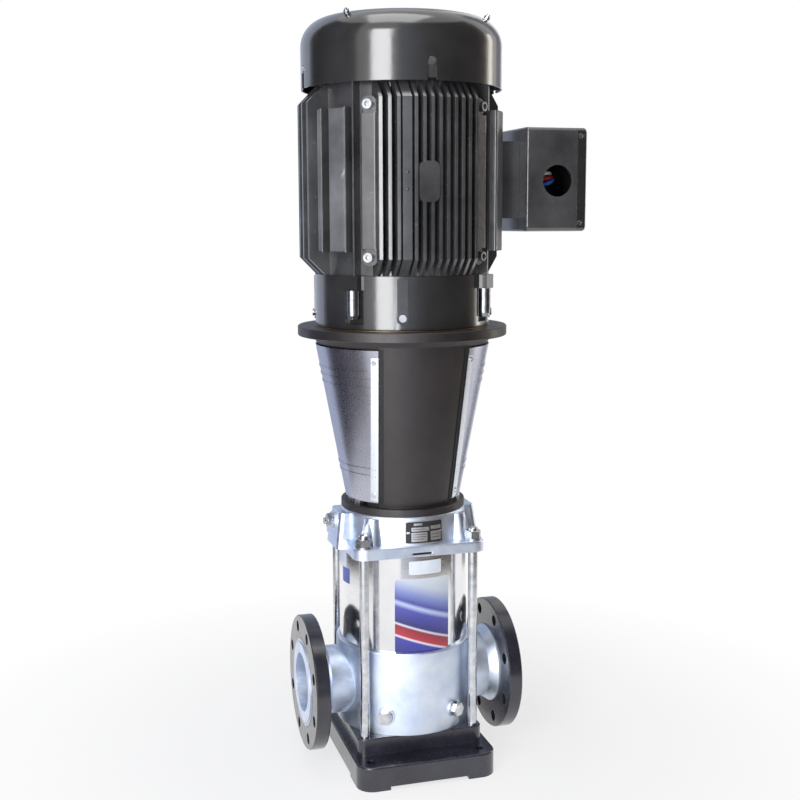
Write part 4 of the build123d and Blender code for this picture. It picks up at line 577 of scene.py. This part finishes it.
# The two drive screws beside the oblong boss: corners of the round head, and where they sit on the frame.
DRIVE_SCREW = ((0.02, 0.0), (2.4, 0.0), (2.2, 1.0), (1.2, 1.7), (0.02, 1.9))
DRIVE_SCREW_SIDES = 16
DRIVE_SCREW_X, DRIVE_SCREW_Y, DRIVE_SCREW_HEIGHTS = -39.5, -166.0, (974.0, 1000.0)
for number, z in enumerate(DRIVE_SCREW_HEIGHTS):
    lathe(f"drive_screw_{number}", DRIVE_SCREW, (DRIVE_SCREW_X, DRIVE_SCREW_Y, z), OXIDE,
          DRIVE_SCREW_SIDES, (0, -1, 0))

# Brass shim in the joint between the stool and the motor.
SHIM = ((140.0, -0.6), (146.6, -0.6), (146.6, 0.6), (140.0, 0.6))
SHIM_SIDES = 96
lathe("motor_joint_shim", SHIM, (0, 0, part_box("motor_stool")[1].z / MM), BRASS, SHIM_SIDES)

# The motor leads, from the motor's wall round to the terminal block. At each point of the run: out from
# the wall, across, across for each place in the row of three, up, and up for each place.
LEAD_RADIUS, LEAD_ROUNDNESS, LEAD_STEPS = 3.2, 4, 10
LEAD_RUN = ((-16, 0, 8, 0, 0), (16, -6, 9, 0, 4), (42, -56, 4, 2, 9), (68, -24, 8, 7, 4.5), (62, 18, 9, 6, 12),
            (44, 44, 0, 3, 15), (38, 52, 0, 0, 15))


def motor_lead(name, place, finish):
    """An insulated motor lead on the same run as its solid."""
    box_low, box_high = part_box("terminal_box")
    wall, middle = box_low.x / MM, (box_low.z + box_high.z) / 2 / MM
    data = bpy.data.curves.new(name, "CURVE")
    data.dimensions = "3D"
    data.bevel_depth = LEAD_RADIUS * MM
    data.bevel_resolution = LEAD_ROUNDNESS
    data.resolution_u = LEAD_STEPS
    data.use_fill_caps = True
    line = data.splines.new("BEZIER")
    line.bezier_points.add(len(LEAD_RUN) - 1)
    for point, (out, across, across_each, up, up_each) in zip(line.bezier_points, LEAD_RUN):
        point.co = Vector((wall + out, across + across_each * place, middle + up + up_each * place)) * MM
        point.handle_left_type = point.handle_right_type = "AUTO"
    data.materials.append(finish)
    made = place_in_scene(name, data)
    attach(made, "pump_frame")
    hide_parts("motor_leads")


for place, (colour, sheath) in zip((-1, 0, 1), LEAD_COLOURS.items()):
    motor_lead(f"motor_lead_{colour}", place, sheath)

# ---------------------------------------------------------------- stage, lamps and camera

WHITE = linear("#ffffff")


def seen_directly(tree):
    """1 for camera, glossy and transmission rays, else 0."""
    path = add(tree, "ShaderNodeLightPath").outputs
    seen = add(tree, "ShaderNodeMath", {0: path["Is Camera Ray"], 1: path["Is Glossy Ray"]}, operation="MAXIMUM")
    seen = add(tree, "ShaderNodeMath", {0: seen.outputs[0], 1: path["Is Transmission Ray"]}, operation="MAXIMUM")
    return seen.outputs[0]


# A round sheet of white paper: it takes the shadow near the pump and fades into the white room.
FLOOR_REACH, FLOOR_POINTS, FLOOR_DROP = 1.5, 96, 0.0004
FADE_FROM, FADE_TO = 0.30, 0.95
GLOW_NEAR, GLOW_FAR = 0.72, 1.0
PAPER_COLOUR, PAPER_ROUGHNESS = linear("#f4f4f5"), 0.9

bearings = [math.tau * k / FLOOR_POINTS for k in range(FLOOR_POINTS)]
floor_data = bpy.data.meshes.new("studio_floor")
floor_data.from_pydata([(FLOOR_REACH * math.cos(b), FLOOR_REACH * math.sin(b), 0) for b in bearings], [],
                       [tuple(range(FLOOR_POINTS))])
floor = place_in_scene("studio_floor", floor_data)
floor.location.z = CAD_BOX[0][2] - FLOOR_DROP
paper = bpy.data.materials.new("white_paper_sweep")
paper.use_nodes = True
sheet = paper.node_tree
paper_shader = sheet.nodes["Principled BSDF"]
paper_shader.inputs["Base Color"].default_value = PAPER_COLOUR
paper_shader.inputs["Roughness"].default_value = PAPER_ROUGHNESS
paper_place = add(sheet, "ShaderNodeTexCoord").outputs["Object"]
away = add(sheet, "ShaderNodeVectorMath", {0: paper_place}, operation="LENGTH").outputs["Value"]
fade = add(sheet, "ShaderNodeMapRange", {"Value": away}, between(GLOW_NEAR, GLOW_FAR, FADE_FROM, FADE_TO))
share = add(sheet, "ShaderNodeMath", {0: seen_directly(sheet), 1: fade.outputs["Result"]}, operation="MULTIPLY")
glow = add(sheet, "ShaderNodeEmission", None, {"Color": WHITE, "Strength": 1.0})
paper_mix = add(sheet, "ShaderNodeMixShader", {0: share.outputs[0], 1: paper_shader.outputs[0], 2: glow.outputs[0]})
sheet.links.new(paper_mix.outputs[0], sheet.nodes["Material Output"].inputs["Surface"])
floor_data.materials.append(paper)

# The room lights the pump softly, and is white where it is looked at.
ROOM_COLOUR, ROOM_LIGHT = linear("#e6ebf4"), 0.24
world = bpy.data.worlds.new("pale_studio")
bpy.context.scene.world = world
world.use_nodes = True
room = world.node_tree
soft_room = room.nodes["Background"]
soft_room.inputs["Color"].default_value = ROOM_COLOUR
soft_room.inputs["Strength"].default_value = ROOM_LIGHT
white_room = add(room, "ShaderNodeBackground", None, {"Color": WHITE, "Strength": 1.0})
room_mix = add(room, "ShaderNodeMixShader",
               {0: seen_directly(room), 1: soft_room.outputs[0], 2: white_room.outputs[0]})
room.links.new(room_mix.outputs[0], room.nodes["World Output"].inputs["Surface"])

# Tall grey cards stand on the paper round the pump, out of sight. They glow with their own greys and are hidden
# from diffuse and shadow rays too, so the metal shows them only as painted reflections, dark beside the white of
# the room. Bearings run from the back, past the left side (-90 degrees), the front (0) and the right. Each card has
# the bearings of its greys.
CARD_REACH, CARD_HIGH, CARD_STEP_DEG = 1.22, 2.60, 3
PAINTED_REFLECTION_CARDS = {
    "back": ((150, "#a4aab6"), (180, "#b3bccf"), (222, "#d2dbf0")),
    "left": ((-136, "#a6acbe"), (-126, "#332d2e"), (-108, "#383230"), (-92, "#5c5654"), (-74, "#5a524d"),
             (-64, "#8d8c90")),
    "front": ((-20, "#b6bcca"), (-8, "#a3a8b4"), (12, "#6c6563"), (42, "#433a36"), (72, "#51463f"),
              (88, "#8d7f70")),
    "right": ((112, "#a7a9ae"), (132, "#868c98")),
}


def paint_reflection_card(name, stops):
    """A tall curved card that glows from one grey to the next and that only gloss shows: a painted reflection."""
    start, end = stops[0][0], stops[-1][0]
    half = math.radians((end - start) / 2)
    steps = int((end - start) / CARD_STEP_DEG)
    points = []
    for i in range(steps + 1):
        bearing = half * (2 * i / steps - 1)
        points += [(CARD_REACH * math.sin(bearing), -CARD_REACH * math.cos(bearing), z) for z in (0, CARD_HIGH)]
    data = bpy.data.meshes.new(name)
    data.from_pydata(points, [], [(i, i + 2, i + 3, i + 1) for i in range(0, 2 * steps, 2)])
    card = bpy.data.materials.new(f"graded_{name}")
    card.use_nodes = True
    tree = card.node_tree
    tree.nodes.remove(tree.nodes["Principled BSDF"])
    place = add(tree, "ShaderNodeTexCoord").outputs["Object"]
    axes = add(tree, "ShaderNodeSeparateXYZ", {"Vector": place}).outputs
    ahead = add(tree, "ShaderNodeMath", {0: axes["Y"]}, {1: -1.0}, operation="MULTIPLY").outputs[0]
    bearing = add(tree, "ShaderNodeMath", {0: axes["X"], 1: ahead}, operation="ARCTAN2").outputs[0]
    along = add(tree, "ShaderNodeMapRange", {"Value": bearing}, between(0.0, 1.0, -half, half))
    ramp = add(tree, "ShaderNodeValToRGB", {"Fac": along.outputs["Result"]})
    grey = set_stops(ramp, [((at - start) / (end - start), colour) for at, colour in stops])
    # The card glows with its graded grey. This is a painted reflection, not a lamp.
    shine = add(tree, "ShaderNodeEmission", {"Color": grey}, {"Strength": 1.0})
    tree.links.new(shine.outputs[0], tree.nodes["Material Output"].inputs["Surface"])
    data.materials.append(card)
    made = place_in_scene(name, data)
    made.rotation_euler.z = math.radians((start + end) / 2)
    made.visible_camera = made.visible_diffuse = made.visible_shadow = False


for card_name, stops in PAINTED_REFLECTION_CARDS.items():
    paint_reflection_card(f"painted_reflection_card_{card_name}", stops)

# Soft boxes that face the pump's axis: bearing from the front (negative towards the left), distance and
# height, width and height of the box, watts, colour, and the height that it faces.
LAMPS = {
    "key_box": (-38, 2.6, 1.30, (1.0, 2.4), 60, "#fdfdff", 1.30),
    "left_edge_box": (-112, 2.4, 0.60, (0.5, 1.2), 8, "#b9c8ff", 0.60),
    "right_edge_box": (100, 2.6, 1.10, (0.4, 2.0), 8, "#fff4e2", 1.10),
    "front_low": (-16, 2.8, 0.40, (0.9, 0.6), 15, "#f2f7ff", 0.40),
    "top": (-30, 0.6, 3.2, (1.6, 1.6), 22, "#ffffff", 0.9),
}
for lamp_name, (bearing_deg, distance, height, size, watts, colour, faces_z) in LAMPS.items():
    box = bpy.data.lights.new(lamp_name, "AREA")
    box.shape = "RECTANGLE"
    box.size, box.size_y = size
    box.energy = watts
    box.color = linear(colour)[:3]
    lamp = place_in_scene(lamp_name, box)
    bearing = math.radians(bearing_deg)
    lamp.location = Vector((distance * math.sin(bearing), -distance * math.cos(bearing), height))
    lamp.rotation_euler = (Vector((0, 0, faces_z)) - lamp.location).to_track_quat("-Z", "Y").to_euler()

CAMERA_AT = Vector((-0.5805, -1.9596, 0.9274))
CAMERA_TURN = math.radians(16.39)
CAMERA_DIP = math.radians(8.46)
CAMERA_ROLL = math.radians(-0.19)
CAMERA_LENS, CAMERA_SENSOR, CAMERA_NEAR = 54.41, 36.0, 0.01
ahead = Vector((math.sin(CAMERA_TURN) * math.cos(CAMERA_DIP), math.cos(CAMERA_TURN) * math.cos(CAMERA_DIP),
                -math.sin(CAMERA_DIP)))
right = Vector((math.cos(CAMERA_TURN), -math.sin(CAMERA_TURN), 0))
facing = Matrix((right, right.cross(ahead), -ahead)).transposed().to_4x4()
lens = bpy.data.cameras.new("studio_camera")
lens.lens, lens.sensor_width, lens.clip_start = CAMERA_LENS, CAMERA_SENSOR, CAMERA_NEAR
camera = place_in_scene("studio_camera", lens)
camera.matrix_world = Matrix.Translation(CAMERA_AT) @ facing @ Matrix.Rotation(CAMERA_ROLL, 4, "Z")
bpy.context.scene.camera = camera
bpy.context.scene.view_settings.view_transform = "Standard"
